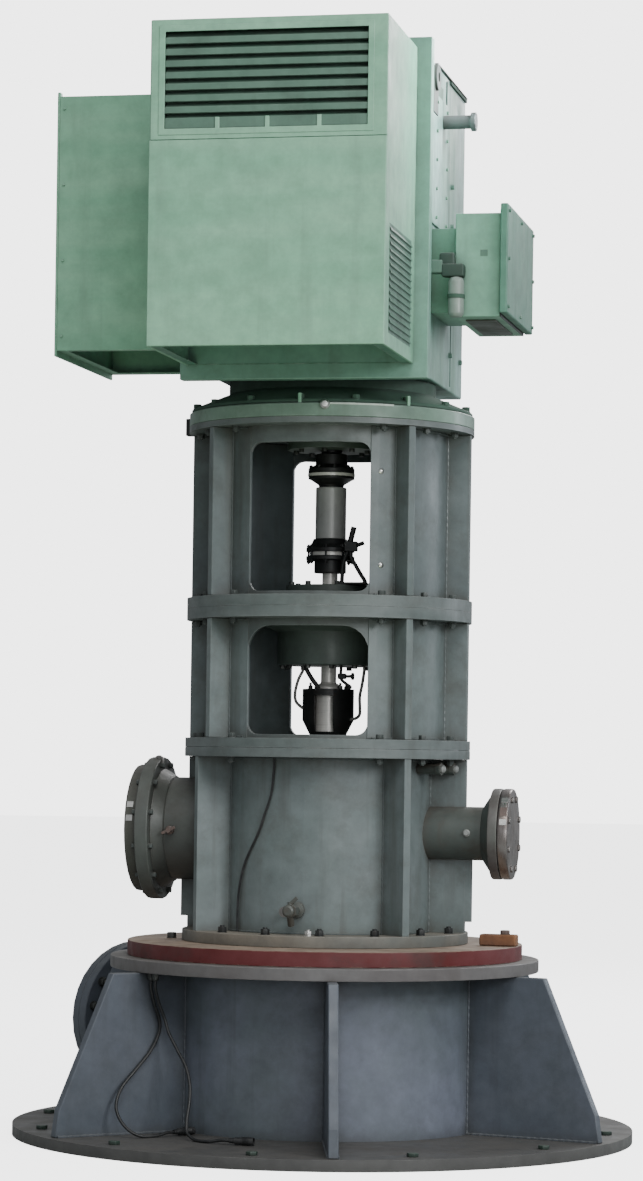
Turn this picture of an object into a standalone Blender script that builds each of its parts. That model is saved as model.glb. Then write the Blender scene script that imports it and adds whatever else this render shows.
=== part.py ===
"""Vertical can pump with its motor, from ground level up, at real size in metres.

The origin is the middle of the base plate's underside and +Z is up. The motor's front hood and
the front windows face -Y, the terminal box faces +X and the discharge nozzle faces -X. A bearing
is an angle round the pump's axis in degrees, 0 at -Y and 90 at +X.
"""

import math

import bmesh
import bpy
from mathutils import Matrix, Vector

# Clearance left between two pieces that touch, and how much longer than its wall a cutter is
GAP = 0.0003
OVERCUT = 0.05

# Foundation plate and the can that hangs through it
BASE_R = 1.20
BASE_TOP = 0.043
ANCHOR_HOLES = 12
ANCHOR_CIRCLE_R = 1.11
ANCHOR_HOLE_R = 0.019
ANCHOR_TURN = -1.5
CAN_R = 0.63
CAN_FLANGE_R = 0.83
CAN_FLANGE_BOTTOM = 0.648
CAN_FLANGE_TOP = 0.695
CAN_RIBS = 6
CAN_RIB_FIRST = 13.5
CAN_RIB_THICK = 0.038
CAN_RIB_TOP_R = 0.94
CAN_RIB_KNEE_R = 1.16
CAN_RIB_KNEE_Z = 0.146
CAN_RIB_FOOT_R = 1.175

# Suction nozzle on the can; a hub is how long and how high the weld neck behind the flange is
SUCTION_BEARING = -130.0
SUCTION_Z = 0.38
SUCTION_NECK_R = 0.203
SUCTION_FLANGE_R = 0.31
SUCTION_ROOT = 0.45
SUCTION_FLANGE_BACK = 1.185
SUCTION_FACE = 1.23
SUCTION_BLANK_FACE = 1.275
SUCTION_HUB = (0.05, 0.03)

# Cover plate over the can, with its red rim, and the jacking lug on it
COVER_R = 0.765
COVER_TOP = 0.753
LUG_BEARING = 86.0
LUG_INNER_R = 0.62
LUG_OUTER_R = 0.762
LUG_WIDE = 0.06
LUG_TALL = 0.045

# Two free leads, from glands under the can flange to connectors that lie on the foundation
# plate. A route is the middle line of its lead.
LEAD_R = 0.006
LEAD_STEP = 0.026
CURVE_STEPS = 12
LEAD_GLAND_R = 0.014
LEAD_GLAND_TALL = 0.028
LEAD_PLUG_R = 0.016
LEAD_PLUG_LONG = 0.095
LEAD_PLUG_SOCKET = (0.011, 0.022)
LEAD_ROUTES = {
    "lead_left": (
        (-0.546, -0.573, 0.6194),
        (-0.546, -0.573, 0.590),
        (-0.535, -0.560, 0.530),
        (-0.521, -0.541, 0.475),
        (-0.521, -0.537, 0.425),
        (-0.547, -0.560, 0.355),
        (-0.592, -0.606, 0.285),
        (-0.631, -0.660, 0.222),
        (-0.641, -0.699, 0.160),
        (-0.619, -0.722, 0.110),
        (-0.581, -0.731, 0.072),
        (-0.542, -0.719, 0.0515),
        (-0.510, -0.695, 0.0496),
        (-0.481, -0.664, 0.0520),
        (-0.457, -0.637, 0.0590),
        (-0.441, -0.617, 0.0593),
    ),
    "lead_right": (
        (-0.523, -0.596, 0.6194),
        (-0.523, -0.596, 0.590),
        (-0.510, -0.581, 0.530),
        (-0.493, -0.564, 0.475),
        (-0.475, -0.572, 0.425),
        (-0.436, -0.595, 0.365),
        (-0.392, -0.627, 0.300),
        (-0.369, -0.660, 0.235),
        (-0.365, -0.687, 0.170),
        (-0.367, -0.710, 0.115),
        (-0.359, -0.733, 0.072),
        (-0.329, -0.758, 0.0515),
        (-0.292, -0.790, 0.0496),
        (-0.250, -0.812, 0.0520),
        (-0.208, -0.822, 0.0590),
        (-0.180, -0.824, 0.0593),
    ),
}

# Discharge head
HEAD_FLANGE_R = 0.555
HEAD_FLANGE_TOP = 0.797
HEAD_SHELL_R = 0.41
HEAD_SHELL_TOP = 1.463
HEAD_TOP = 1.499
STACK_FLANGE_R = 0.553
RIB_BEARINGS = (45.0, 90.0, 135.0)
HEAD_RIB_BEARINGS = (45.0, 90.0, 135.0, 225.0, 270.0, 306.0)
RIB_OUTER_R = 0.548
RIB_THICK = 0.03
GUSSET_OUTER_R = 0.574
GUSSET_THICK = 0.029
GUSSET_DEEP = 0.07
GUSSET_BOTTOM = 0.84
GUSSET_TOP = 1.09

# Thin lead down the head's front, from under its top flange to the corner beside a rib and down
# to the base flange: bearing, distance from the axis and height
HEAD_LEAD_R = 0.004
HEAD_LEAD_STEP = 0.02
HEAD_LEAD_ROUTE = (
    (-17.4, 0.4150, 1.4627),
    (-17.4, 0.4150, 1.4300),
    (-18.0, 0.4150, 1.3770),
    (-18.8, 0.4150, 1.3300),
    (-20.5, 0.4150, 1.2900),
    (-22.8, 0.4150, 1.2500),
    (-26.0, 0.4150, 1.1900),
    (-29.4, 0.4150, 1.1450),
    (-32.8, 0.4155, 1.1050),
    (-35.8, 0.4160, 1.0680),
    (-38.4, 0.4170, 1.0200),
    (-40.4, 0.4185, 0.9600),
    (-41.3, 0.4190, 0.9000),
    (-41.3, 0.4190, 0.8400),
    (-41.3, 0.4190, 0.7976),
)

# Discharge nozzle towards -X and the smaller side nozzle towards +X
NOZZLE_Z = 1.18
DISCHARGE_NECK_R = 0.20
DISCHARGE_ROOT = 0.30
DISCHARGE_FLANGE_R = 0.2775
DISCHARGE_FLANGE_BACK = 0.648
DISCHARGE_FACE = 0.700
DISCHARGE_BLANK_R = 0.2475
DISCHARGE_BLANK_FACE = 0.748
DISCHARGE_HUB = (0.035, 0.02)
SIDE_NECK_R = 0.103
SIDE_ROOT = 0.30
SIDE_FLANGE_R = 0.175
SIDE_FLANGE_BACK = 0.655
SIDE_FACE = 0.693
SIDE_BLANK_FACE = 0.7335
SIDE_HUB = (0.03, 0.02)

# Drain cock low on the head's front
COCK_BEARING = -3.5
COCK_Z = 0.889
COCK_R = 0.024
COCK_WAIST_R = 0.0145
COCK_OUTER_R = 0.545
COCK_ROOT = 0.05
COCK_NUT = 0.025
COCK_STEP = 0.005

# The two stools between head and motor, with a window at front and rear
SHELL_R = 0.46
SHELL_INNER_R = 0.435
WINDOW_HALF = 0.230
LOWER_BASE_TOP = 1.535
LOWER_SHELL_TOP = 1.989
LOWER_TOP = 2.0315
UPPER_BASE_TOP = 2.074
UPPER_SHELL_TOP = 2.713
UPPER_TOP = 2.735
LOWER_WINDOW = (1.550, 1.960)
UPPER_WINDOW = (2.090, 2.650)
WINDOW_CORNER = 0.04
LOWER_WINDOW_TOP_CORNER = 0.09
FILLET_SHARE = 0.8
BAND_ROOT = 0.01

# Bearing housing through the middle flanges and seal housing on the head
BEARING_SEAT_R = 0.25
BEARING_BODY_R = 0.20
BEARING_CAP_R = 0.17
BEARING_BOTTOM = 1.82
BEARING_SHOULDER = 1.95
BEARING_TAPER = 0.02
BEARING_CAP_BOTTOM = 2.10
BEARING_TOP = 2.13
SHAFT_BORE_R = 0.0306
SEAL_TOP = 1.73
SEAL_R = 0.10
SEAL_FOOT_R = 0.07
SEAL_BORE_R = 0.064
SEAL_NECK_TOP = 1.55
SEAL_HEAD_BOTTOM = 1.61
SEAL_SLOT_HALF = 0.036
SEAL_SLOT = (1.565, 1.705)

# Rotor: shaft with its sleeve, and the spacer coupling
SHAFT_R = 0.03
SLEEVE_R = 0.054
SLEEVE_BOTTOM = 1.545
SLEEVE_TOP = 1.74
SHAFT_CHAMFER = 0.015
SHAFT_TOP = 2.18
HUB_R = 0.062
COUPLING_R = 0.078
LOWER_COUPLING_R = 0.094
HUB_TOP = 2.229
COUPLING_RIM = 0.016
LOWER_JOINT = 2.2535
SPACER_RIM_BOTTOM = 2.262
SPACER_R = 0.060
SPACER_BOTTOM = 2.317
SPACER_TOP = 2.505
UPPER_JOINT = 2.553
UPPER_COUPLING_R = 0.09
UPPER_RIM_BOTTOM = 2.535
UPPER_FLARE = 0.004
UPPER_HUB_TOP = 2.585
STUB_R = 0.04
STUB_BOTTOM = 2.645
STUB_TOP = 2.70
STUB_CHAMFER = 0.005

# Motor flange with its spigot and bearing boss, and the cone under the frame
SPIGOT_R = 0.34
BOSS_R = 0.17
BOSS_BOTTOM = 2.655
BOSS_BORE_R = 0.045
BOSS_BORE_TOP = 2.706
MOTOR_FLANGE_TOP = 2.786
CONE_FOOT_R = 0.545
CONE_FOOT_TOP = 2.80
CONE_NECK_R = 0.40
CONE_NECK_BOTTOM = 2.86
CONE_TOP = 2.91
KEY_OUTER = 0.58
KEY_HALF = 0.02
KEY_BOTTOM = 2.715
KEY_TOP = 2.782

# Motor frame, front plate and the two air hoods
FRAME_HALF_X = 0.415
FRAME_HALF_Y = 0.556
FRAME_TOP = 4.117
PLATE_LEFT = -0.46
PLATE_RIGHT = 0.479
PLATE_FRONT = -0.609
PLATE_BOTTOM = 2.867
PLATE_TOP = 4.1225
SHEET = 0.010
HOOD_LEFT = -0.437
HOOD_RIGHT = 0.425
HOOD_FRONT = -BASE_R
HOOD_BOTTOM = 2.92
HOOD_TOP = 4.083
LOUVRE_LEFT = -0.382
LOUVRE_RIGHT = 0.355
LOUVRE_BOTTOM = 3.693
LOUVRE_TOP = 4.039
LOUVRE_SLOTS = 8
LOUVRE_SLOT_TALL = 0.018
LOUVRE_FRAME = 0.02
SIDE_HOOD_OUTER = -1.006
SIDE_HOOD_HALF_Y = 0.41
SIDE_HOOD_FACE_BOTTOM = 2.984
SIDE_HOOD_WALL_BOTTOM = 3.005
SIDE_HOOD_TOP = 3.977

# Fittings on the motor's right side
BOX_INNER = 0.5245
BOX_OUTER = 0.70
BOX_HALF_Y = 0.30
BOX_BOTTOM = 3.13
BOX_TOP = 3.52
BOX_NECK_HALF_Y = 0.20
BOX_NECK_BOTTOM = 3.16
BOX_NECK_TOP = 3.48
LID_OUTER = 0.73
LID_HALF_Y = 0.34
LID_BOTTOM = 3.14
LID_TOP = 3.55
TRUNNION_Z = 3.92
TRUNNION_R = 0.026
TRUNNION_COLLAR_R = 0.036
TRUNNION_COLLAR = 0.53
TRUNNION_OUTER = 0.55
CANISTER_R = 0.03
CANISTER_X = 0.535
CANISTER_BOTTOM = 3.125
CANISTER_TOP = 3.28

# How many flats stand for a large and for a small round
LARGE_ROUND = 64
SMALL_ROUND = 32
SHARP_ANGLE = math.radians(35)

# Colour, roughness and metallic value of each finish
FINISHES = {
    "primer_grey": ((0.155, 0.175, 0.185), 0.55, 0.0),
    "stool_grey": ((0.165, 0.205, 0.200), 0.50, 0.0),
    "plate_grey": ((0.125, 0.125, 0.120), 0.60, 0.2),
    "flange_green": ((0.105, 0.150, 0.120), 0.45, 0.0),
    "motor_green": ((0.240, 0.420, 0.330), 0.35, 0.0),
    "motor_dark": ((0.060, 0.120, 0.090), 0.50, 0.0),
    "rusty_cover": ((0.260, 0.060, 0.050), 0.60, 0.1),
    "bare_steel": ((0.330, 0.300, 0.290), 0.35, 0.9),
    "dark_steel": ((0.040, 0.042, 0.042), 0.45, 0.7),
    "shaft_steel": ((0.480, 0.470, 0.450), 0.25, 1.0),
    "rust_orange": ((0.330, 0.110, 0.030), 0.75, 0.1),
    "canister_white": ((0.480, 0.520, 0.490), 0.40, 0.0),
    "lead_black": ((0.030, 0.031, 0.033), 0.60, 0.0),
}


def clear_scene():
    """Removes whatever the file opened with."""
    for old in list(bpy.data.objects):
        bpy.data.objects.remove(old, do_unlink=True)


def finish_of(name):
    """The material of one finish, made the first time that it is asked for."""
    if name in bpy.data.materials:
        return bpy.data.materials[name]
    colour, roughness, metallic = FINISHES[name]
    made = bpy.data.materials.new(name)
    made.use_nodes = True
    shader = made.node_tree.nodes["Principled BSDF"]
    shader.inputs["Base Color"].default_value = (*colour, 1.0)
    shader.inputs["Roughness"].default_value = roughness
    shader.inputs["Metallic"].default_value = metallic
    return made


def at_bearing(bearing, radius, z=0.0):
    """The point at this bearing, distance from the axis and height."""
    angle = math.radians(bearing)
    return Vector((radius * math.sin(angle), -radius * math.cos(angle), z))


def add_piece(name, shape, finish):
    """Turns a bmesh into an object of that name, with outward faces and one finish."""
    bmesh.ops.remove_doubles(shape, verts=shape.verts, dist=1e-6)
    bmesh.ops.recalc_face_normals(shape, faces=shape.faces)
    mesh = bpy.data.meshes.new(name)
    shape.to_mesh(mesh)
    shape.free()
    mesh.shade_smooth()
    mesh.set_sharp_from_angle(angle=SHARP_ANGLE)
    mesh.materials.append(finish_of(finish))
    piece = bpy.data.objects.new(name, mesh)
    bpy.context.scene.collection.objects.link(piece)
    return piece


def turned_shape(profile, steps):
    """A bmesh turned about Z from (radius, height) points; one that has a bore closes on itself."""
    shape = bmesh.new()
    points = [shape.verts.new((radius, 0.0, z)) for radius, z in profile]
    edges = [shape.edges.new(pair) for pair in zip(points, points[1:])]
    if profile[0][0] > 0:
        edges.append(shape.edges.new((points[-1], points[0])))
    bmesh.ops.spin(
        shape,
        geom=points + edges,
        axis=(0.0, 0.0, 1.0),
        cent=(0.0, 0.0, 0.0),
        angle=2 * math.pi,
        steps=steps,
        use_merge=True,
    )
    return shape


def turned(name, profile, finish, steps=LARGE_ROUND):
    """A solid turned about the pump's axis."""
    return add_piece(name, turned_shape(profile, steps), finish)


def disc_profile(radius, bottom, top, bore=0.0):
    """The outline of a disc, or of a ring where there is a bore."""
    return [(bore, bottom), (radius, bottom), (radius, top), (bore, top)]


def turned_outwards(name, profile, bearing, z, finish, steps):
    """A solid turned about a level axis: its (radius, height) points run outwards at the bearing."""
    shape = turned_shape(profile, steps)
    heading = at_bearing(bearing, 1.0)
    turn = heading.to_track_quat("Z", "Y").to_matrix().to_4x4()
    shape.transform(Matrix.Translation((0.0, 0.0, z)) @ turn)
    return add_piece(name, shape, finish)


def nozzle(name, stations, radii, hub, bearing, z, finish):
    """A pipe's neck from its root to the flange at its end, with the weld hub behind the flange."""
    root, back, face = stations
    neck_r, flange_r = radii
    hub_long, hub_high = hub
    profile = [
        (0.0, root + GAP),
        (neck_r, root + GAP),
        (neck_r, back - hub_long),
        (neck_r + hub_high, back),
        (flange_r, back),
        (flange_r, face),
        (0.0, face),
    ]
    turned_outwards(name, profile, bearing, z, finish, SMALL_ROUND)


def prism_shape(outline, bottom, top):
    """A bmesh with this outline in plan, between two heights."""
    shape = bmesh.new()
    corners = [shape.verts.new((x, y, bottom)) for x, y in outline]
    floor = shape.faces.new(corners)
    raised = bmesh.ops.extrude_face_region(shape, geom=[floor])["geom"]
    lifted = [item for item in raised if isinstance(item, bmesh.types.BMVert)]
    bmesh.ops.translate(shape, verts=lifted, vec=(0.0, 0.0, top - bottom))
    return shape


def box_shape(low, high):
    """A bmesh box between two corners."""
    shape = bmesh.new()
    bmesh.ops.create_cube(shape, size=1.0)
    size = Vector(high) - Vector(low)
    middle = (Vector(high) + Vector(low)) / 2
    shape.transform(Matrix.Translation(middle) @ Matrix.Diagonal((*size, 1.0)))
    return shape


def box(name, low, high, finish):
    """A plain box between two corners."""
    return add_piece(name, box_shape(low, high), finish)


def stepped_shape(sections):
    """A closed bmesh through upright oblongs across X, each given as (x, half width, bottom, top)."""
    shape = bmesh.new()
    rings = []
    for x, half, bottom, top in sections:
        corners = ((-half, bottom), (half, bottom), (half, top), (-half, top))
        rings.append([shape.verts.new((x, y, z)) for y, z in corners])
    shape.faces.new(rings[0])
    shape.faces.new(rings[-1])
    for near, far in zip(rings, rings[1:]):
        for i in range(4):
            shape.faces.new((near[i], near[i - 1], far[i - 1], far[i]))
    return shape


def helper(name, shape):
    """An object that only shapes others, so it isn't a piece of the pump."""
    tool = add_piece(name, shape, "dark_steel")
    tool.hide_render = True
    tool.display_type = "WIRE"
    return tool


def combine(piece, tool, operation):
    """Cuts the helper out of a piece, or joins the helper to it."""
    change = piece.modifiers.new(tool.name, "BOOLEAN")
    change.operation = operation
    change.solver = "EXACT"
    change.object = tool


def level_cylinder(radius, inner, outer, bearing, z, steps):
    """A bmesh cylinder along a bearing, to bore a seat for a nozzle."""
    shape = turned_shape([(0.0, inner), (radius, inner), (radius, outer), (0.0, outer)], steps)
    turn = at_bearing(bearing, 1.0).to_track_quat("Z", "Y").to_matrix().to_4x4()
    shape.transform(Matrix.Translation((0.0, 0.0, z)) @ turn)
    return shape


def ribbed_outline(shell_r, inner_r, first, last, ribs):
    """Plan of a shell between two bearings with radial ribs, closed along its inner radius."""
    step = 360.0 / LARGE_ROUND
    half = math.degrees(math.asin(RIB_THICK / 2 / shell_r))
    outline = []
    bearing = first
    for rib in [*ribs, None]:
        until = last if rib is None else rib - half
        count = max(1, math.ceil((until - bearing) / step))
        for i in range(count + 1):
            outline.append(at_bearing(bearing + (until - bearing) * i / count, shell_r))
        if rib is None:
            break
        across = at_bearing(rib + 90, RIB_THICK / 2)
        outline.append(at_bearing(rib, RIB_OUTER_R) - across)
        outline.append(at_bearing(rib, RIB_OUTER_R) + across)
        bearing = rib + half
    if inner_r:
        count = math.ceil((last - first) / step)
        low = math.degrees(math.asin(abs(outline[0].x) / inner_r))
        ends = (180.0 - low, low) if first > 0 else (-low, low - 180.0)
        for i in range(count + 1):
            outline.append(at_bearing(ends[0] + (ends[1] - ends[0]) * i / count, inner_r))
    return [(point.x, point.y) for point in outline]


def window_shape(bottom, top, low_corner, high_corner):
    """A bmesh with a window's outline, run along Y through both walls of a stool."""
    corners = (
        (WINDOW_HALF, bottom, low_corner, -90),
        (WINDOW_HALF, top, high_corner, 0),
        (-WINDOW_HALF, top, high_corner, 90),
        (-WINDOW_HALF, bottom, low_corner, 180),
    )
    steps = 6
    outline = []
    for x, z, radius, start in corners:
        centre_x = x - math.copysign(radius, x)
        centre_z = z + radius if z == bottom else z - radius
        for i in range(steps + 1):
            angle = math.radians(start + 90 * i / steps)
            outline.append((centre_x + radius * math.cos(angle), centre_z + radius * math.sin(angle)))
    shape = prism_shape(outline, -SHELL_R - OVERCUT, SHELL_R + OVERCUT)
    shape.transform(Matrix.Rotation(math.pi / 2, 4, "X"))
    return shape


def band_outline(front):
    """Plan of the shell's wall across a window, at the front or the rear."""
    half = WINDOW_HALF - GAP / 2
    steps = 12
    outline = []
    for radius, order in ((SHELL_R, 1), (SHELL_INNER_R, -1)):
        reach = math.degrees(math.asin(half / radius))
        for i in range(steps + 1):
            outline.append(at_bearing(order * reach * (2 * i / steps - 1), radius))
    turn = 1 if front else -1
    return [(point.x, turn * point.y) for point in outline]


def add_bands(flange, bottom, top, window):
    """Joins the strips of shell over or under both windows to a stool's flange."""
    for side in ("front", "rear"):
        strip = prism_shape(band_outline(side == "front"), bottom, top)
        combine(flange, helper(f"{flange.name}_{side}_band", strip), "UNION")
    combine(flange, window, "DIFFERENCE")


def make_base():
    """The round foundation plate with its anchor holes."""
    plate = turned(
        "base_plate",
        disc_profile(BASE_R, 0.0, BASE_TOP, CAN_R + GAP),
        "plate_grey",
        steps=96,
    )
    holes = bmesh.new()
    for i in range(ANCHOR_HOLES):
        spot = at_bearing(ANCHOR_TURN + 360 * i / ANCHOR_HOLES, ANCHOR_CIRCLE_R, BASE_TOP / 2)
        bmesh.ops.create_cone(
            holes,
            cap_ends=True,
            segments=16,
            radius1=ANCHOR_HOLE_R,
            radius2=ANCHOR_HOLE_R,
            depth=BASE_TOP + 2 * OVERCUT,
            matrix=Matrix.Translation(spot),
        )
    combine(plate, helper("anchor_hole_cutter", holes), "DIFFERENCE")


def make_can():
    """The can with its ribs, top flange and blanked suction nozzle."""
    barrel = turned(
        "can_barrel", disc_profile(CAN_R, 0.0, CAN_FLANGE_BOTTOM - GAP), "primer_grey", steps=96
    )
    seat = level_cylinder(
        SUCTION_NECK_R + GAP, SUCTION_ROOT, CAN_R + OVERCUT, SUCTION_BEARING, SUCTION_Z, SMALL_ROUND
    )
    combine(barrel, helper("suction_seat", seat), "DIFFERENCE")
    for i in range(CAN_RIBS):
        make_can_rib(i)
    turned(
        "can_flange",
        disc_profile(CAN_FLANGE_R, CAN_FLANGE_BOTTOM, CAN_FLANGE_TOP),
        "flange_green",
        steps=96,
    )
    nozzle(
        "suction_nozzle",
        (SUCTION_ROOT, SUCTION_FLANGE_BACK, SUCTION_FACE),
        (SUCTION_NECK_R, SUCTION_FLANGE_R),
        SUCTION_HUB,
        SUCTION_BEARING,
        SUCTION_Z,
        "dark_steel",
    )
    turned_outwards(
        "suction_blank",
        disc_profile(SUCTION_FLANGE_R, SUCTION_FACE + GAP, SUCTION_BLANK_FACE),
        SUCTION_BEARING,
        SUCTION_Z,
        "dark_steel",
        SMALL_ROUND,
    )


def make_can_rib(index):
    """One upright plate between the can, its top flange and the base plate."""
    outline = [
        (CAN_R + GAP, BASE_TOP + GAP),
        (CAN_RIB_FOOT_R, BASE_TOP + GAP),
        (CAN_RIB_KNEE_R, CAN_RIB_KNEE_Z),
        (CAN_RIB_TOP_R, CAN_FLANGE_BOTTOM - GAP),
        (CAN_R + GAP, CAN_FLANGE_BOTTOM - GAP),
    ]
    shape = prism_shape(outline, -CAN_RIB_THICK / 2, CAN_RIB_THICK / 2)
    upright = Matrix.Rotation(math.pi / 2, 4, "X")
    bearing = CAN_RIB_FIRST + index * 360 / CAN_RIBS
    shape.transform(Matrix.Rotation(math.radians(bearing - 90), 4, "Z") @ upright)
    add_piece(f"can_rib_{index + 1}", shape, "primer_grey")


def make_cover():
    """The cover plate over the can and the jacking lug on it."""
    turned(
        "cover_plate", disc_profile(COVER_R, CAN_FLANGE_TOP + GAP, COVER_TOP), "rusty_cover", steps=96
    )
    lug = box_shape(
        (-LUG_WIDE / 2, -LUG_OUTER_R, COVER_TOP + GAP), (LUG_WIDE / 2, -LUG_INNER_R, COVER_TOP + LUG_TALL)
    )
    lug.transform(Matrix.Rotation(math.radians(LUG_BEARING), 4, "Z"))
    add_piece("jacking_lug", lug, "rust_orange")


def smooth_path(route):
    """A smooth curve through a route's points."""
    knots = list(route)
    knots = [2 * knots[0] - knots[1], *knots, 2 * knots[-1] - knots[-2]]
    path = []
    for a, b, c, d in zip(knots, knots[1:], knots[2:], knots[3:]):
        for i in range(CURVE_STEPS):
            t = i / CURVE_STEPS
            bend = (2 * a - 5 * b + 4 * c - d) * t * t + (3 * b - a - 3 * c + d) * t**3
            path.append((2 * b + (c - a) * t + bend) / 2)
    return [*path, knots[-2]]


def even_steps(path, step):
    """Points about one step apart along a curve, as evenly as its length allows."""
    lengths = [0.0]
    for first, last in zip(path, path[1:]):
        lengths.append(lengths[-1] + (last - first).length)
    count = round(lengths[-1] / step)
    points = []
    i = 0
    for k in range(count + 1):
        along = lengths[-1] * k / count
        while i < len(path) - 2 and lengths[i + 1] < along:
            i += 1
        share = (along - lengths[i]) / (lengths[i + 1] - lengths[i])
        points.append(path[i].lerp(path[i + 1], share))
    return points


def add_tube(name, path, radius):
    """A round tube with closed ends along a path."""
    curve = bpy.data.curves.new(name, "CURVE")
    curve.dimensions = "3D"
    curve.bevel_depth = radius
    curve.bevel_resolution = 2
    curve.use_fill_caps = True
    spline = curve.splines.new("POLY")
    spline.points.add(len(path) - 1)
    for point, place in zip(spline.points, path):
        point.co = (*place, 1.0)
    curve.materials.append(finish_of("lead_black"))
    bpy.context.scene.collection.objects.link(bpy.data.objects.new(name, curve))


def make_lead(name, route):
    """A free lead, the gland that it hangs from and the connector at its end."""
    path = even_steps(smooth_path(Vector(point) for point in route), LEAD_STEP)
    for point in path:
        point.z = max(point.z, BASE_TOP + GAP + LEAD_R)
    add_tube(name, path, LEAD_R)

    top = CAN_FLANGE_BOTTOM - GAP
    gland = turned_shape(disc_profile(LEAD_GLAND_R, top - LEAD_GLAND_TALL, top), 16)
    gland.transform(Matrix.Translation((path[0].x, path[0].y, 0.0)))
    add_piece(f"{name}_gland", gland, "dark_steel")

    socket_r, socket_long = LEAD_PLUG_SOCKET
    plug = turned_shape(
        [
            (0.0, GAP),
            (socket_r, GAP),
            (socket_r, socket_long),
            (LEAD_PLUG_R, socket_long),
            (LEAD_PLUG_R, LEAD_PLUG_LONG),
            (0.0, LEAD_PLUG_LONG),
        ],
        16,
    )
    heading = path[-1] - path[-2]
    heading.z = 0.0
    turn = heading.to_track_quat("Z", "Y").to_matrix().to_4x4()
    place = Vector((path[-1].x, path[-1].y, BASE_TOP + GAP + LEAD_PLUG_R))
    plug.transform(Matrix.Translation(place) @ turn)
    add_piece(f"{name}_plug", plug, "lead_black")


def make_head():
    """The discharge head: flange, ribbed shell and top flange."""
    turned(
        "head_base_flange",
        disc_profile(HEAD_FLANGE_R, COVER_TOP + GAP, HEAD_FLANGE_TOP),
        "stool_grey",
    )
    shell = prism_shape(
        ribbed_outline(HEAD_SHELL_R, 0.0, 0.0, 359.0, HEAD_RIB_BEARINGS),
        HEAD_FLANGE_TOP + GAP,
        HEAD_SHELL_TOP - GAP,
    )
    body = add_piece("head_body", shell, "stool_grey")
    for side in (-1, 1):
        gusset = box_shape(
            (side * (GUSSET_OUTER_R - GUSSET_DEEP), -GUSSET_THICK / 2, GUSSET_BOTTOM),
            (side * GUSSET_OUTER_R, GUSSET_THICK / 2, GUSSET_TOP),
        )
        combine(body, helper("gusset_left" if side < 0 else "gusset_right", gusset), "UNION")
    for name, bearing, radius, root in (
        ("discharge_seat", -90.0, DISCHARGE_NECK_R, DISCHARGE_ROOT),
        ("side_seat", 90.0, SIDE_NECK_R, SIDE_ROOT),
    ):
        seat = level_cylinder(radius + GAP, root, RIB_OUTER_R + OVERCUT, bearing, NOZZLE_Z, SMALL_ROUND)
        combine(body, helper(name, seat), "DIFFERENCE")
    turned("head_top_flange", disc_profile(STACK_FLANGE_R, HEAD_SHELL_TOP, HEAD_TOP), "stool_grey")
    lead = even_steps(smooth_path(at_bearing(*place) for place in HEAD_LEAD_ROUTE), HEAD_LEAD_STEP)
    add_tube("head_lead", lead, HEAD_LEAD_R)


def make_nozzles():
    """The discharge and side nozzles, each closed by a blank, and the drain cock."""
    nozzle(
        "discharge_nozzle",
        (DISCHARGE_ROOT, DISCHARGE_FLANGE_BACK, DISCHARGE_FACE),
        (DISCHARGE_NECK_R, DISCHARGE_FLANGE_R),
        DISCHARGE_HUB,
        -90.0,
        NOZZLE_Z,
        "primer_grey",
    )
    turned_outwards(
        "discharge_blank",
        disc_profile(DISCHARGE_BLANK_R, DISCHARGE_FACE + GAP, DISCHARGE_BLANK_FACE),
        -90.0,
        NOZZLE_Z,
        "bare_steel",
        SMALL_ROUND,
    )
    nozzle(
        "side_nozzle",
        (SIDE_ROOT, SIDE_FLANGE_BACK, SIDE_FACE),
        (SIDE_NECK_R, SIDE_FLANGE_R),
        SIDE_HUB,
        90.0,
        NOZZLE_Z,
        "stool_grey",
    )
    turned_outwards(
        "side_blank",
        disc_profile(SIDE_FLANGE_R, SIDE_FACE + GAP, SIDE_BLANK_FACE),
        90.0,
        NOZZLE_Z,
        "bare_steel",
        SMALL_ROUND,
    )
    turned_outwards(
        "drain_cock",
        [
            (0.0, HEAD_SHELL_R + GAP),
            (COCK_R, HEAD_SHELL_R + GAP),
            (COCK_R, HEAD_SHELL_R + COCK_ROOT),
            (COCK_WAIST_R, HEAD_SHELL_R + COCK_ROOT + COCK_STEP),
            (COCK_WAIST_R, COCK_OUTER_R - COCK_NUT - COCK_STEP),
            (COCK_R, COCK_OUTER_R - COCK_NUT),
            (COCK_R, COCK_OUTER_R),
            (0.0, COCK_OUTER_R),
        ],
        COCK_BEARING,
        COCK_Z,
        "dark_steel",
        16,
    )


def make_stool(name, base_bottom, base_top, shell_top, top, bores, window):
    """One stool: its two flanges with the strips round the windows, and a ribbed wall each side."""
    base_bore, top_bore = bores
    bottom_edge, top_edge, low_corner, high_corner = window
    cutter = helper(f"{name}_window", window_shape(bottom_edge, top_edge, low_corner, high_corner))
    base = turned(
        f"{name}_base", disc_profile(STACK_FLANGE_R, base_bottom + GAP, base_top, base_bore), "stool_grey"
    )
    add_bands(base, base_top - BAND_ROOT, bottom_edge + low_corner * FILLET_SHARE, cutter)
    ring = turned(
        f"{name}_top", disc_profile(STACK_FLANGE_R, shell_top + GAP, top, top_bore), "stool_grey"
    )
    add_bands(ring, top_edge - high_corner * FILLET_SHARE, shell_top + BAND_ROOT, cutter)
    edge = math.degrees(math.asin((WINDOW_HALF + GAP / 2) / SHELL_R))
    for side, first in (("right", edge), ("left", edge - 180.0)):
        ribs = [bearing if side == "right" else bearing - 180.0 for bearing in RIB_BEARINGS]
        outline = ribbed_outline(SHELL_R, SHELL_INNER_R, first, first + 180.0 - 2 * edge, ribs)
        wall = prism_shape(outline, base_top + GAP, shell_top)
        add_piece(f"{name}_{side}", wall, "stool_grey")


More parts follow.
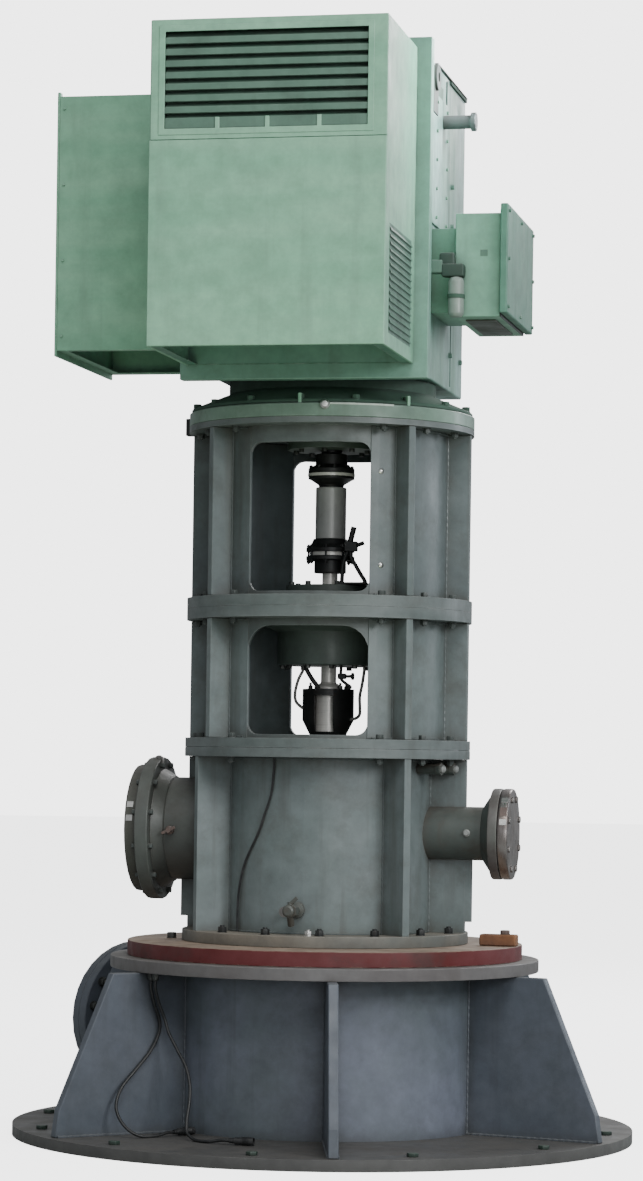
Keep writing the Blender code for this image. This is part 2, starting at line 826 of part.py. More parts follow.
def make_housings():
    """The seal housing on the head and the bearing housing through the middle flanges."""
    seal = turned(
        "seal_housing",
        [
            (SEAL_BORE_R, LOWER_BASE_TOP + GAP),
            (SEAL_FOOT_R, LOWER_BASE_TOP + GAP),
            (SEAL_FOOT_R, SEAL_NECK_TOP),
            (SEAL_R, SEAL_HEAD_BOTTOM),
            (SEAL_R, SEAL_TOP),
            (SEAL_BORE_R, SEAL_TOP),
        ],
        "dark_steel",
        steps=SMALL_ROUND,
    )
    slot = box_shape(
        (-SEAL_SLOT_HALF, -SEAL_R - OVERCUT, SEAL_SLOT[0]), (SEAL_SLOT_HALF, 0.0, SEAL_SLOT[1])
    )
    combine(seal, helper("seal_slot", slot), "DIFFERENCE")
    turned(
        "bearing_housing",
        [
            (SHAFT_BORE_R, BEARING_BOTTOM),
            (BEARING_BODY_R, BEARING_BOTTOM),
            (BEARING_BODY_R, BEARING_SHOULDER),
            (BEARING_SEAT_R - GAP, BEARING_SHOULDER + BEARING_TAPER),
            (BEARING_SEAT_R - GAP, BEARING_CAP_BOTTOM),
            (BEARING_CAP_R, BEARING_CAP_BOTTOM),
            (BEARING_CAP_R, BEARING_TOP),
            (SHAFT_BORE_R, BEARING_TOP),
        ],
        "motor_dark",
        steps=48,
    )


def make_rotor():
    """The shaft with its sleeve, and the coupling's two hubs and spacer, which turn together."""
    turned(
        "pump_shaft",
        [
            (0.0, SLEEVE_BOTTOM),
            (SLEEVE_R, SLEEVE_BOTTOM),
            (SLEEVE_R, SLEEVE_TOP),
            (SHAFT_R, SLEEVE_TOP + SHAFT_CHAMFER),
            (SHAFT_R, SHAFT_TOP - GAP),
            (0.0, SHAFT_TOP - GAP),
        ],
        "shaft_steel",
        steps=SMALL_ROUND,
    )
    turned(
        "lower_coupling_hub",
        [
            (0.0, SHAFT_TOP),
            (HUB_R, SHAFT_TOP),
            (HUB_R, HUB_TOP),
            (LOWER_COUPLING_R, HUB_TOP),
            (LOWER_COUPLING_R, HUB_TOP + COUPLING_RIM),
            (COUPLING_R, HUB_TOP + COUPLING_RIM),
            (COUPLING_R, LOWER_JOINT),
            (0.0, LOWER_JOINT),
        ],
        "dark_steel",
        steps=SMALL_ROUND,
    )
    turned(
        "coupling_spacer",
        [
            (0.0, LOWER_JOINT + GAP),
            (COUPLING_R, LOWER_JOINT + GAP),
            (COUPLING_R, SPACER_RIM_BOTTOM),
            (LOWER_COUPLING_R, SPACER_RIM_BOTTOM),
            (LOWER_COUPLING_R, SPACER_RIM_BOTTOM + COUPLING_RIM),
            (SPACER_R, SPACER_BOTTOM),
            (SPACER_R, SPACER_TOP),
            (COUPLING_R, UPPER_RIM_BOTTOM - UPPER_FLARE),
            (UPPER_COUPLING_R, UPPER_RIM_BOTTOM),
            (UPPER_COUPLING_R, UPPER_JOINT - GAP),
            (0.0, UPPER_JOINT - GAP),
        ],
        "shaft_steel",
        steps=SMALL_ROUND,
    )
    turned(
        "upper_coupling_hub",
        [
            (0.0, UPPER_JOINT),
            (UPPER_COUPLING_R, UPPER_JOINT),
            (UPPER_COUPLING_R, UPPER_HUB_TOP),
            (HUB_R, UPPER_HUB_TOP + SHAFT_CHAMFER),
            (HUB_R, STUB_BOTTOM - STUB_CHAMFER),
            (STUB_R, STUB_BOTTOM),
            (STUB_R, STUB_TOP),
            (0.0, STUB_TOP),
        ],
        "dark_steel",
        steps=SMALL_ROUND,
    )


def make_motor_foot():
    """The motor's flange with its spigot and bearing boss, the cone over it and the locating key."""
    turned(
        "motor_flange",
        [
            (0.0, BOSS_BORE_TOP),
            (BOSS_BORE_R, BOSS_BORE_TOP),
            (BOSS_BORE_R, BOSS_BOTTOM),
            (BOSS_R, BOSS_BOTTOM),
            (BOSS_R, UPPER_SHELL_TOP + GAP),
            (SPIGOT_R, UPPER_SHELL_TOP + GAP),
            (SPIGOT_R, UPPER_TOP + GAP),
            (STACK_FLANGE_R, UPPER_TOP + GAP),
            (STACK_FLANGE_R, MOTOR_FLANGE_TOP),
            (0.0, MOTOR_FLANGE_TOP),
        ],
        "motor_green",
    )
    turned(
        "motor_cone",
        [
            (0.0, MOTOR_FLANGE_TOP + GAP),
            (CONE_FOOT_R, MOTOR_FLANGE_TOP + GAP),
            (CONE_FOOT_R, CONE_FOOT_TOP),
            (CONE_NECK_R, CONE_NECK_BOTTOM),
            (CONE_NECK_R, CONE_TOP),
            (0.0, CONE_TOP),
        ],
        "motor_dark",
    )
    box(
        "flange_key",
        (-KEY_OUTER, -KEY_HALF, KEY_BOTTOM),
        (-STACK_FLANGE_R - GAP, KEY_HALF, KEY_TOP),
        "dark_steel",
    )


def make_motor_frame():
    """The motor's frame and the plate across its front."""
    box(
        "motor_frame",
        (-FRAME_HALF_X, -FRAME_HALF_Y, CONE_TOP + GAP),
        (FRAME_HALF_X, FRAME_HALF_Y, FRAME_TOP),
        "motor_green",
    )
    box(
        "motor_front_plate",
        (PLATE_LEFT, PLATE_FRONT, PLATE_BOTTOM),
        (PLATE_RIGHT, -FRAME_HALF_Y - GAP, PLATE_TOP),
        "motor_green",
    )


def make_front_hood():
    """The air hood in front: face with a louvre, two sides and a top, open underneath."""
    face_back = HOOD_FRONT + SHEET
    face = box(
        "front_hood_face",
        (HOOD_LEFT, HOOD_FRONT, HOOD_BOTTOM),
        (HOOD_RIGHT, face_back, HOOD_TOP),
        "motor_green",
    )
    opening = box_shape(
        (LOUVRE_LEFT - GAP, HOOD_FRONT - OVERCUT, LOUVRE_BOTTOM - GAP),
        (LOUVRE_RIGHT + GAP, face_back + OVERCUT, LOUVRE_TOP + GAP),
    )
    combine(face, helper("louvre_opening", opening), "DIFFERENCE")
    louvre = box(
        "front_louvre",
        (LOUVRE_LEFT, HOOD_FRONT, LOUVRE_BOTTOM),
        (LOUVRE_RIGHT, face_back, LOUVRE_TOP),
        "motor_dark",
    )
    pitch = (LOUVRE_TOP - LOUVRE_BOTTOM) / LOUVRE_SLOTS
    middle = (LOUVRE_LEFT + LOUVRE_RIGHT) / 2
    width = LOUVRE_RIGHT - LOUVRE_LEFT - 2 * LOUVRE_FRAME
    slots = bmesh.new()
    for i in range(LOUVRE_SLOTS):
        z = LOUVRE_BOTTOM + (i + 0.5) * pitch
        place = Matrix.Translation((middle, HOOD_FRONT, z))
        size = Matrix.Diagonal((width, 4 * SHEET, LOUVRE_SLOT_TALL, 1.0))
        bmesh.ops.create_cube(slots, size=1.0, matrix=place @ size)
    combine(louvre, helper("louvre_slots", slots), "DIFFERENCE")
    for side, low_x in (("left", HOOD_LEFT), ("right", HOOD_RIGHT - SHEET)):
        box(
            f"front_hood_{side}",
            (low_x, face_back + GAP, HOOD_BOTTOM),
            (low_x + SHEET, PLATE_FRONT - GAP, HOOD_TOP),
            "motor_green",
        )
    box(
        "front_hood_top",
        (HOOD_LEFT + SHEET + GAP, face_back + GAP, HOOD_TOP - SHEET),
        (HOOD_RIGHT - SHEET - GAP, PLATE_FRONT - GAP, HOOD_TOP),
        "motor_green",
    )


def make_side_hood():
    """The air hood on the left: face, two sides and a top, open underneath."""
    face_inner = SIDE_HOOD_OUTER + SHEET
    frame_side = -FRAME_HALF_X - GAP
    box(
        "side_hood_face",
        (SIDE_HOOD_OUTER, -SIDE_HOOD_HALF_Y, SIDE_HOOD_FACE_BOTTOM),
        (face_inner, SIDE_HOOD_HALF_Y, SIDE_HOOD_TOP),
        "motor_green",
    )
    for side, low_y in (("front", -SIDE_HOOD_HALF_Y), ("rear", SIDE_HOOD_HALF_Y - SHEET)):
        box(
            f"side_hood_{side}",
            (face_inner + GAP, low_y, SIDE_HOOD_WALL_BOTTOM),
            (frame_side, low_y + SHEET, SIDE_HOOD_TOP),
            "motor_green",
        )
    inside = SIDE_HOOD_HALF_Y - SHEET - GAP
    box(
        "side_hood_top",
        (face_inner + GAP, -inside, SIDE_HOOD_TOP - SHEET),
        (frame_side, inside, SIDE_HOOD_TOP),
        "motor_green",
    )


def make_fittings():
    """The terminal box, the lifting trunnion and the canister on the motor's right side."""
    side = FRAME_HALF_X + GAP
    necked = stepped_shape(
        [
            (side, BOX_NECK_HALF_Y, BOX_NECK_BOTTOM, BOX_NECK_TOP),
            (BOX_INNER, BOX_NECK_HALF_Y, BOX_NECK_BOTTOM, BOX_NECK_TOP),
            (BOX_INNER, BOX_HALF_Y, BOX_BOTTOM, BOX_TOP),
            (BOX_OUTER, BOX_HALF_Y, BOX_BOTTOM, BOX_TOP),
        ]
    )
    add_piece("terminal_box", necked, "motor_green")
    box(
        "terminal_box_lid",
        (BOX_OUTER + GAP, -LID_HALF_Y, LID_BOTTOM),
        (LID_OUTER, LID_HALF_Y, LID_TOP),
        "motor_green",
    )
    turned_outwards(
        "lifting_trunnion",
        [
            (0.0, side),
            (TRUNNION_R, side),
            (TRUNNION_R, TRUNNION_COLLAR),
            (TRUNNION_COLLAR_R, TRUNNION_COLLAR),
            (TRUNNION_COLLAR_R, TRUNNION_OUTER),
            (0.0, TRUNNION_OUTER),
        ],
        90.0,
        TRUNNION_Z,
        "motor_green",
        24,
    )
    canister = turned_shape(disc_profile(CANISTER_R, CANISTER_BOTTOM, CANISTER_TOP), 24)
    canister.transform(Matrix.Translation((CANISTER_X, -BOX_HALF_Y - GAP - CANISTER_R, 0.0)))
    add_piece("canister", canister, "canister_white")


def main():
    """Builds the whole pump."""
    clear_scene()
    make_base()
    make_can()
    make_cover()
    for name, route in LEAD_ROUTES.items():
        make_lead(name, route)
    make_head()
    make_nozzles()
    make_stool(
        "lower_stool",
        HEAD_TOP,
        LOWER_BASE_TOP,
        LOWER_SHELL_TOP,
        LOWER_TOP,
        (0.0, BEARING_SEAT_R),
        (*LOWER_WINDOW, WINDOW_CORNER, LOWER_WINDOW_TOP_CORNER),
    )
    make_stool(
        "upper_stool",
        LOWER_TOP,
        UPPER_BASE_TOP,
        UPPER_SHELL_TOP,
        UPPER_TOP,
        (BEARING_SEAT_R, SPIGOT_R + GAP),
        (*UPPER_WINDOW, WINDOW_CORNER, WINDOW_CORNER),
    )
    make_housings()
    make_rotor()
    make_motor_foot()
    make_motor_frame()
    make_front_hood()
    make_side_hood()
    make_fittings()


main()
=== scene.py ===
"""Looks of the vertical can pump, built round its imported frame, in metres with +Z up.

The motor's front hood and the front windows face -Y, the terminal box faces +X and the discharge
nozzle faces -X. A bearing is an angle round the pump's axis in degrees, 0 at -Y and 90 at +X.
"""
import logging
import math
from dataclasses import dataclass
from enum import Enum
from typing import Iterable, Sequence

import bmesh
import bpy
from mathutils import Matrix, Vector


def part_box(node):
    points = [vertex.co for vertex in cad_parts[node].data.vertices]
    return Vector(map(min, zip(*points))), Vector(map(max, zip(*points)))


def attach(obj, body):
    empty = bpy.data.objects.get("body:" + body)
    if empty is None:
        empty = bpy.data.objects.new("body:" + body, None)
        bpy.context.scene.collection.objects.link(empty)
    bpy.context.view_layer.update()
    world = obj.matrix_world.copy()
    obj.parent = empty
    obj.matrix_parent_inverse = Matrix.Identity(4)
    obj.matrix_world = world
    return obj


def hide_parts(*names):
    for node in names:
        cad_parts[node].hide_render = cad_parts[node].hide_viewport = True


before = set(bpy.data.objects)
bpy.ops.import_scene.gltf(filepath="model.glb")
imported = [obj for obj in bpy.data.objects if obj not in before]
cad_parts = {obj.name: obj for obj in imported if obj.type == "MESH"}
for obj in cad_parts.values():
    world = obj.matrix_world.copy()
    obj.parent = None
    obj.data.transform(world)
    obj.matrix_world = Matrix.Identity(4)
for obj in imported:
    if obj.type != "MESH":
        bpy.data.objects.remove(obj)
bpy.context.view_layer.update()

LOG = logging.getLogger("can_pump")

Colour = tuple[float, float, float]
Profile = Sequence[tuple[float, float]]
Path = Sequence[Sequence[float]]
Clamp = tuple[float, float]
Bay = tuple[float, float]
Shape = bmesh.types.BMesh
Socket = bpy.types.NodeSocket

FULL_TURN = 2 * math.pi
SHARP = math.radians(35)
TOUCH = 0.0004
WEAR_WIDTH = 0.005
FINE_GRAIN = 260.0
BEAD_SIDES = 6
BEAD_RIPPLE = 0.25


# Shader trees and the effects that several finishes share


class Tree:
    """Adds nodes to a node tree and joins their sockets."""

    def __init__(self, tree: bpy.types.NodeTree) -> None:
        """Keeps the tree that the nodes go into."""
        self.tree = tree

    def feed(self, socket: Socket, value: object) -> None:
        """Links a socket to another one, or sets its value.

        Args:
            socket: the input to feed.
            value: an output socket, a number, or three numbers for a colour or a vector.
        """
        if isinstance(value, bpy.types.NodeSocket):
            self.tree.links.new(value, socket)
        elif socket.type == "RGBA":
            socket.default_value = (*value, 1.0)
        else:
            socket.default_value = value

    def add(self, kind: str, feeds: dict | None = None, **settings: object) -> bpy.types.Node:
        """Adds a node.

        Args:
            kind: the node's type in Blender.
            feeds: what goes into its inputs, by name or index.
            settings: the node's own properties.

        Returns:
            The new node.
        """
        node = self.tree.nodes.new(kind)
        for key, value in settings.items():
            setattr(node, key, value)
        for key, value in (feeds or {}).items():
            self.feed(node.inputs[key], value)
        return node

    def noise(self, vector: Socket, scale: float | Socket, detail: float = 4.0, rough: float = 0.55) -> Socket:
        """Cloudy values round 0.5.

        Args:
            vector: the point that is looked up.
            scale: how many clouds there are to a metre.
            detail: how many finer layers there are.
            rough: how strong the finer layers are.

        Returns:
            The value's socket.
        """
        feeds = {"Vector": vector, "Scale": scale, "Detail": detail, "Roughness": rough}
        return self.add("ShaderNodeTexNoise", feeds).outputs[0]

    def spread(self, value: Socket, low: float, high: float, first: float = 0.0, last: float = 1.0) -> Socket:
        """Maps a value between two limits to two others, and stops there.

        Args:
            value: the value's socket.
            low: the value that becomes first.
            high: the value that becomes last.
            first: the result at low.
            last: the result at high.

        Returns:
            The result's socket.
        """
        return self.add("ShaderNodeMapRange", {0: value, 1: low, 2: high, 3: first, 4: last}).outputs[0]

    def times(self, first: Socket | float, second: Socket | float) -> Socket:
        """The product of two values."""
        return self.add("ShaderNodeMath", {0: first, 1: second}, operation="MULTIPLY").outputs[0]

    def plus(self, first: Socket | float, second: Socket | float) -> Socket:
        """The sum of two values."""
        return self.add("ShaderNodeMath", {0: first, 1: second}, operation="ADD").outputs[0]

    def mix(self, share: Socket | float, first: object, second: object, blend: str = "MIX") -> Socket:
        """Mixes two colours.

        Args:
            share: how much of the second colour shows.
            first: the colour underneath.
            second: the colour on top.
            blend: how they are mixed.

        Returns:
            The mixed colour's socket.
        """
        feeds = {0: share, 6: first, 7: second}
        return self.add("ShaderNodeMix", feeds, data_type="RGBA", blend_type=blend).outputs[2]

    def stretch(self, vector: Socket, scale: Sequence[float] | Socket) -> Socket:
        """Scales a point along each axis."""
        return self.add("ShaderNodeMapping", {"Vector": vector, "Scale": scale}).outputs[0]

    def looking_up(self, low: float, high: float) -> Socket:
        """How far a face looks up: nothing at low and all at high, of its normal's height."""
        facing = self.add("ShaderNodeNewGeometry").outputs["Normal"]
        return self.spread(self.add("ShaderNodeSeparateXYZ", {0: facing}).outputs[2], low, high)

    def emboss(self, shader: bpy.types.Node, height: Socket, strength: float, distance: float) -> None:
        """Lets a height tilt a shader's normal.

        Args:
            shader: the Principled BSDF.
            height: the height's socket.
            strength: how much of it shows.
            distance: how high its full range stands.
        """
        bump = self.add("ShaderNodeBump", {"Strength": strength, "Distance": distance, "Height": height})
        self.feed(shader.inputs["Normal"], bump.outputs[0])

    def use(self, effect: bpy.types.NodeTree, feeds: dict) -> bpy.types.Node:
        """Adds a node group with its own values.

        Args:
            effect: the group.
            feeds: what goes into its inputs, by name.

        Returns:
            The group's node.
        """
        node = self.tree.nodes.new("ShaderNodeGroup")
        node.node_tree = effect
        for key, value in feeds.items():
            self.feed(node.inputs[key], value)
        return node


class Effect:
    """A shader node group with named inputs and outputs."""

    def __init__(self, name: str, inputs: dict[str, str], outputs: dict[str, str]) -> None:
        """Makes the group's sockets.

        Args:
            name: the group's name.
            inputs: the kind of each input by its name.
            outputs: the kind of each output by its name.
        """
        self.group = bpy.data.node_groups.new(name, "ShaderNodeTree")
        for way, sockets in (("INPUT", inputs), ("OUTPUT", outputs)):
            for label, kind in sockets.items():
                self.group.interface.new_socket(name=label, in_out=way, socket_type=f"NodeSocket{kind}")
        self.tree = Tree(self.group)
        self.source = self.group.nodes.new("NodeGroupInput").outputs
        self.sink = self.group.nodes.new("NodeGroupOutput").inputs


def patchy_paint() -> bpy.types.NodeTree:
    """Paint with paler patches, dirt in clouds and dirt in runs down the walls.

    Returns:
        The node group.
    """
    made = Effect(
        "patchy_paint",
        {
            "Vector": "Vector", "Stretch": "Vector", "Base": "Color", "Patch": "Color", "Grime": "Color",
            "Patch Share": "Float", "Grime Share": "Float", "Run Share": "Float",
        },
        {"Color": "Color", "Grime": "Float"},
    )
    tree, source = made.tree, made.source
    point = source["Vector"]
    patches = tree.spread(tree.noise(tree.stretch(point, source["Stretch"]), 2.3, 5.0), 0.38, 0.66)
    patches = tree.times(patches, source["Patch Share"])
    colour = tree.mix(patches, source["Base"], source["Patch"])
    mottle = tree.spread(tree.noise(point, 14.0, 6.0, 0.65), 0.3, 0.7, 0.86, 1.14)
    mottle = tree.add("ShaderNodeCombineColor", {0: mottle, 1: mottle, 2: mottle}).outputs[0]
    colour = tree.mix(1.0, colour, mottle, "MULTIPLY")
    clouds = tree.times(tree.spread(tree.noise(point, 5.0, 9.0, 0.72), 0.5, 0.78), source["Grime Share"])
    runs = tree.noise(tree.stretch(point, (13.0, 13.0, 0.9)), 1.0, 5.0, 0.6)
    runs = tree.times(tree.spread(runs, 0.53, 0.75), source["Run Share"])
    grime = tree.add("ShaderNodeMath", {0: clouds, 1: runs}, operation="MAXIMUM").outputs[0]
    tree.feed(made.sink["Color"], tree.mix(grime, colour, source["Grime"]))
    tree.feed(made.sink["Grime"], grime)
    return made.group


def edge_wear() -> bpy.types.NodeTree:
    """A mask of the edges where paint is rubbed off.

    Returns:
        The node group.
    """
    made = Effect("edge_wear", {"Vector": "Vector", "Width": "Float", "Amount": "Float"}, {"Mask": "Float"})
    tree, source = made.tree, made.source
    rounded = tree.add("ShaderNodeBevel", {"Radius": source["Width"]}, samples=4).outputs[0]
    facing = tree.add("ShaderNodeNewGeometry").outputs["Normal"]
    same = tree.add("ShaderNodeVectorMath", {0: rounded, 1: facing}, operation="DOT_PRODUCT").outputs["Value"]
    edges = tree.spread(same, 0.99, 0.86)
    gaps = tree.spread(tree.noise(source["Vector"], 17.0, 7.0, 0.7), 0.42, 0.6)
    tree.feed(made.sink["Mask"], tree.times(tree.times(edges, gaps), source["Amount"]))
    return made.group


def settled_dust() -> bpy.types.NodeTree:
    """A mask of the faces that look up, where dust lies.

    Returns:
        The node group.
    """
    made = Effect("settled_dust", {"Vector": "Vector", "Amount": "Float"}, {"Mask": "Float"})
    tree, source = made.tree, made.source
    clouds = tree.spread(tree.noise(source["Vector"], 7.0, 8.0, 0.7), 0.3, 0.68)
    tree.feed(made.sink["Mask"], tree.times(tree.times(tree.looking_up(0.45, 0.95), clouds), source["Amount"]))
    return made.group


def surface_grain() -> bpy.types.NodeTree:
    """Height of a painted or cast skin: broad waves and fine grain.

    Returns:
        The node group.
    """
    made = Effect(
        "surface_grain",
        {"Vector": "Vector", "Fine Scale": "Float", "Fine": "Float", "Broad": "Float"},
        {"Height": "Float"},
    )
    tree, source = made.tree, made.source
    fine = tree.times(tree.noise(source["Vector"], source["Fine Scale"], 3.0), source["Fine"])
    broad = tree.times(tree.noise(source["Vector"], 6.0, 2.0, 0.4), source["Broad"])
    tree.feed(made.sink["Height"], tree.plus(fine, broad))
    return made.group


def tool_marks() -> bpy.types.NodeTree:
    """Fine lines left by turning or grinding, across the axis that the stretch names.

    Returns:
        The node group.
    """
    made = Effect("tool_marks", {"Vector": "Vector", "Stretch": "Vector"}, {"Lines": "Float"})
    tree, source = made.tree, made.source
    tree.feed(made.sink["Lines"], tree.noise(tree.stretch(source["Vector"], source["Stretch"]), 1.0, 3.0, 0.6))
    return made.group


def crevice_dirt_and_shade() -> bpy.types.NodeTree:
    """A mask of the corners where dirt gathers and shade falls, found by ambient occlusion: dirt and painted shade
    both.

    Returns:
        The node group.
    """
    made = Effect("crevice_dirt_and_shade", {"Vector": "Vector", "Reach": "Float", "Amount": "Float"}, {"Mask": "Float"})
    tree, source = made.tree, made.source
    openness = tree.add("ShaderNodeAmbientOcclusion", {"Distance": source["Reach"]}, samples=6).outputs["AO"]
    corners = tree.spread(openness, 0.86, 0.4)
    clouds = tree.spread(tree.noise(source["Vector"], 9.0, 7.0, 0.7), 0.25, 0.6, 0.35, 1.0)
    tree.feed(made.sink["Mask"], tree.times(tree.times(corners, clouds), source["Amount"]))
    return made.group


PATCHY_PAINT = patchy_paint()
EDGE_WEAR = edge_wear()
SETTLED_DUST = settled_dust()
SURFACE_GRAIN = surface_grain()
TOOL_MARKS = tool_marks()
CREVICE_DIRT_AND_SHADE = crevice_dirt_and_shade()


# Finishes


MADE: dict[str, bpy.types.Material] = {}


@dataclass(frozen=True)
class Finish:
    """A surface, with the record's slot that it belongs to."""

    name: str
    slot: str

    def material(self) -> bpy.types.Material:
        """The finish's material, made the first time that it is asked for.

        Returns:
            The material.
        """
        if self.name in MADE:
            return MADE[self.name]
        made = MADE[self.name] = bpy.data.materials.new(self.name)
        made.use_nodes = True
        tree = Tree(made.node_tree)
        shader = made.node_tree.nodes["Principled BSDF"]
        self.dress(tree, shader, tree.add("ShaderNodeTexCoord").outputs["Object"])
        return made

    def dress(self, tree: Tree, shader: bpy.types.Node, point: Socket) -> None:
        """Feeds the shader.

        Args:
            tree: the material's tree.
            shader: its Principled BSDF.
            point: the place on the object.
        """
        raise NotImplementedError


@dataclass(frozen=True)
class Paint(Finish):
    """Brushed or sprayed paint over steel, with dirt, dust, worn edges and painted shade in its corners."""

    base: Colour
    patch: Colour
    grime: Colour = (0.035, 0.036, 0.033)
    bare: Colour = (0.22, 0.22, 0.21)
    dust: Colour = (0.2, 0.19, 0.17)
    patch_share: float = 0.6
    grime_share: float = 0.35
    run_share: float = 0.3
    wear: float = 0.5
    dust_share: float = 0.5
    # How strongly corners are darkened, as dirt and as painted shade.
    crevice: float = 0.7
    crevice_reach: float = 0.07
    rough: tuple[float, float] = (0.34, 0.6)
    fine: float = 0.3
    broad: float = 0.8
    coat: float = 0.0
    stretch: tuple[float, float, float] = (1.0, 1.0, 1.0)

    def dress(self, tree: Tree, shader: bpy.types.Node, point: Socket) -> None:
        """Feeds the shader, as Finish says."""
        skin = tree.use(PATCHY_PAINT, {
            "Vector": point, "Stretch": self.stretch, "Base": self.base, "Patch": self.patch, "Grime": self.grime,
            "Patch Share": self.patch_share, "Grime Share": self.grime_share, "Run Share": self.run_share,
        })
        worn = tree.use(EDGE_WEAR, {"Vector": point, "Width": WEAR_WIDTH, "Amount": self.wear}).outputs[0]
        dusty = tree.use(SETTLED_DUST, {"Vector": point, "Amount": self.dust_share}).outputs[0]
        # Corners that ambient occlusion finds are darkened to the grime colour: partly dirt, partly painted shade.
        corners = tree.use(CREVICE_DIRT_AND_SHADE, {
            "Vector": point, "Reach": self.crevice_reach, "Amount": self.crevice,
        }).outputs[0]
        colour = tree.mix(worn, tree.mix(corners, skin.outputs["Color"], self.grime), self.bare)
        tree.feed(shader.inputs["Base Color"], tree.mix(dusty, colour, self.dust))
        gloss = tree.spread(tree.noise(point, 8.0, 5.0), 0.3, 0.7, self.rough[0], self.rough[1])
        dull = tree.spread(tree.plus(skin.outputs["Grime"], dusty), 0.0, 1.0, 0.0, 0.3)
        tree.feed(shader.inputs["Roughness"], tree.plus(gloss, dull))
        grain = tree.use(SURFACE_GRAIN, {
            "Vector": point, "Fine Scale": FINE_GRAIN, "Fine": self.fine, "Broad": self.broad,
        }).outputs[0]
        tree.emboss(shader, grain, 0.35, 0.002)
        shader.inputs["Coat Weight"].default_value = self.coat
        shader.inputs["Coat Roughness"].default_value = 0.2


@dataclass(frozen=True)
class Steel(Finish):
    """Machined or raw steel with tool marks, stains and rust freckles."""

    base: Colour
    stain: Colour
    rust: Colour = (0.12, 0.045, 0.018)
    stretch: tuple[float, float, float] = (4.0, 4.0, 420.0)
    stain_share: float = 0.5
    rust_share: float = 0.2
    rough: tuple[float, float] = (0.22, 0.45)
    metallic: float = 1.0

    def dress(self, tree: Tree, shader: bpy.types.Node, point: Socket) -> None:
        """Feeds the shader, as Finish says."""
        lines = tree.use(TOOL_MARKS, {"Vector": point, "Stretch": self.stretch}).outputs[0]
        stain = tree.times(tree.spread(tree.noise(point, 9.0, 7.0, 0.65), 0.4, 0.68), self.stain_share)
        rust = tree.times(tree.spread(tree.noise(point, 26.0, 9.0, 0.75), 0.56, 0.72), self.rust_share)
        colour = tree.mix(rust, tree.mix(stain, self.base, self.stain), self.rust)
        tree.feed(shader.inputs["Base Color"], colour)
        gloss = tree.plus(tree.spread(lines, 0.3, 0.7, self.rough[0], self.rough[1]), tree.times(rust, 0.4))
        tree.feed(shader.inputs["Roughness"], gloss)
        tree.emboss(shader, lines, 0.2, 0.0006)
        shader.inputs["Metallic"].default_value = self.metallic


@dataclass(frozen=True)
class RedRim(Finish):
    """Red oxide on the rim of a plate whose bare top is rubbed and dusty."""

    red: Colour
    faded: Colour
    dirt: Colour
    top: Colour
    top_stain: Colour

    def dress(self, tree: Tree, shader: bpy.types.Node, point: Socket) -> None:
        """Feeds the shader, as Finish says."""
        rim = tree.mix(tree.spread(tree.noise(point, 5.0, 7.0, 0.65), 0.35, 0.7), self.red, self.faded)
        rim = tree.mix(tree.spread(tree.noise(point, 3.1, 8.0, 0.72), 0.5, 0.72, 0.0, 0.85), rim, self.dirt)
        top = tree.mix(tree.spread(tree.noise(point, 8.0, 8.0, 0.7), 0.35, 0.65), self.top, self.top_stain)
        worn = tree.use(EDGE_WEAR, {"Vector": point, "Width": 0.006, "Amount": 0.8}).outputs[0]
        colour = tree.mix(tree.looking_up(0.55, 0.9), tree.mix(worn, rim, self.top), top)
        tree.feed(shader.inputs["Base Color"], colour)
        tree.feed(shader.inputs["Roughness"], tree.spread(tree.noise(point, 12.0, 6.0), 0.3, 0.7, 0.4, 0.72))
        grain = tree.use(SURFACE_GRAIN, {"Vector": point, "Fine Scale": 180.0, "Fine": 0.5, "Broad": 0.8}).outputs[0]
        tree.emboss(shader, grain, 0.4, 0.002)


@dataclass(frozen=True)
class Rubber(Finish):
    """Hose and cable jackets, and other plain dark fittings."""

    base: Colour
    scuffed: Colour
    rough: tuple[float, float] = (0.4, 0.65)

    def dress(self, tree: Tree, shader: bpy.types.Node, point: Socket) -> None:
        """Feeds the shader, as Finish says."""
        clouds = tree.spread(tree.noise(point, 30.0, 6.0, 0.65), 0.4, 0.7)
        tree.feed(shader.inputs["Base Color"], tree.mix(clouds, self.base, self.scuffed))
        tree.feed(shader.inputs["Roughness"], tree.spread(clouds, 0.0, 1.0, self.rough[0], self.rough[1]))


@dataclass(frozen=True)
class Ground(Finish):
    """The plain pale floor."""

    seen: Colour
    given: Colour
    lift: float

    def dress(self, tree: Tree, shader: bpy.types.Node, point: Socket) -> None:
        """Feeds the shader, as Finish says: the floor throws back less light than the eye sees on it."""
        shader.inputs["Roughness"].default_value = 0.95
        shader.inputs["Specular IOR Level"].default_value = 0.1
        shader.inputs["Emission Color"].default_value = (*self.seen, 1.0)
        eye = tree.add("ShaderNodeLightPath").outputs["Is Camera Ray"]
        tree.feed(shader.inputs["Base Color"], tree.mix(eye, self.given, self.seen))
        tree.feed(shader.inputs["Emission Strength"], tree.times(eye, self.lift))


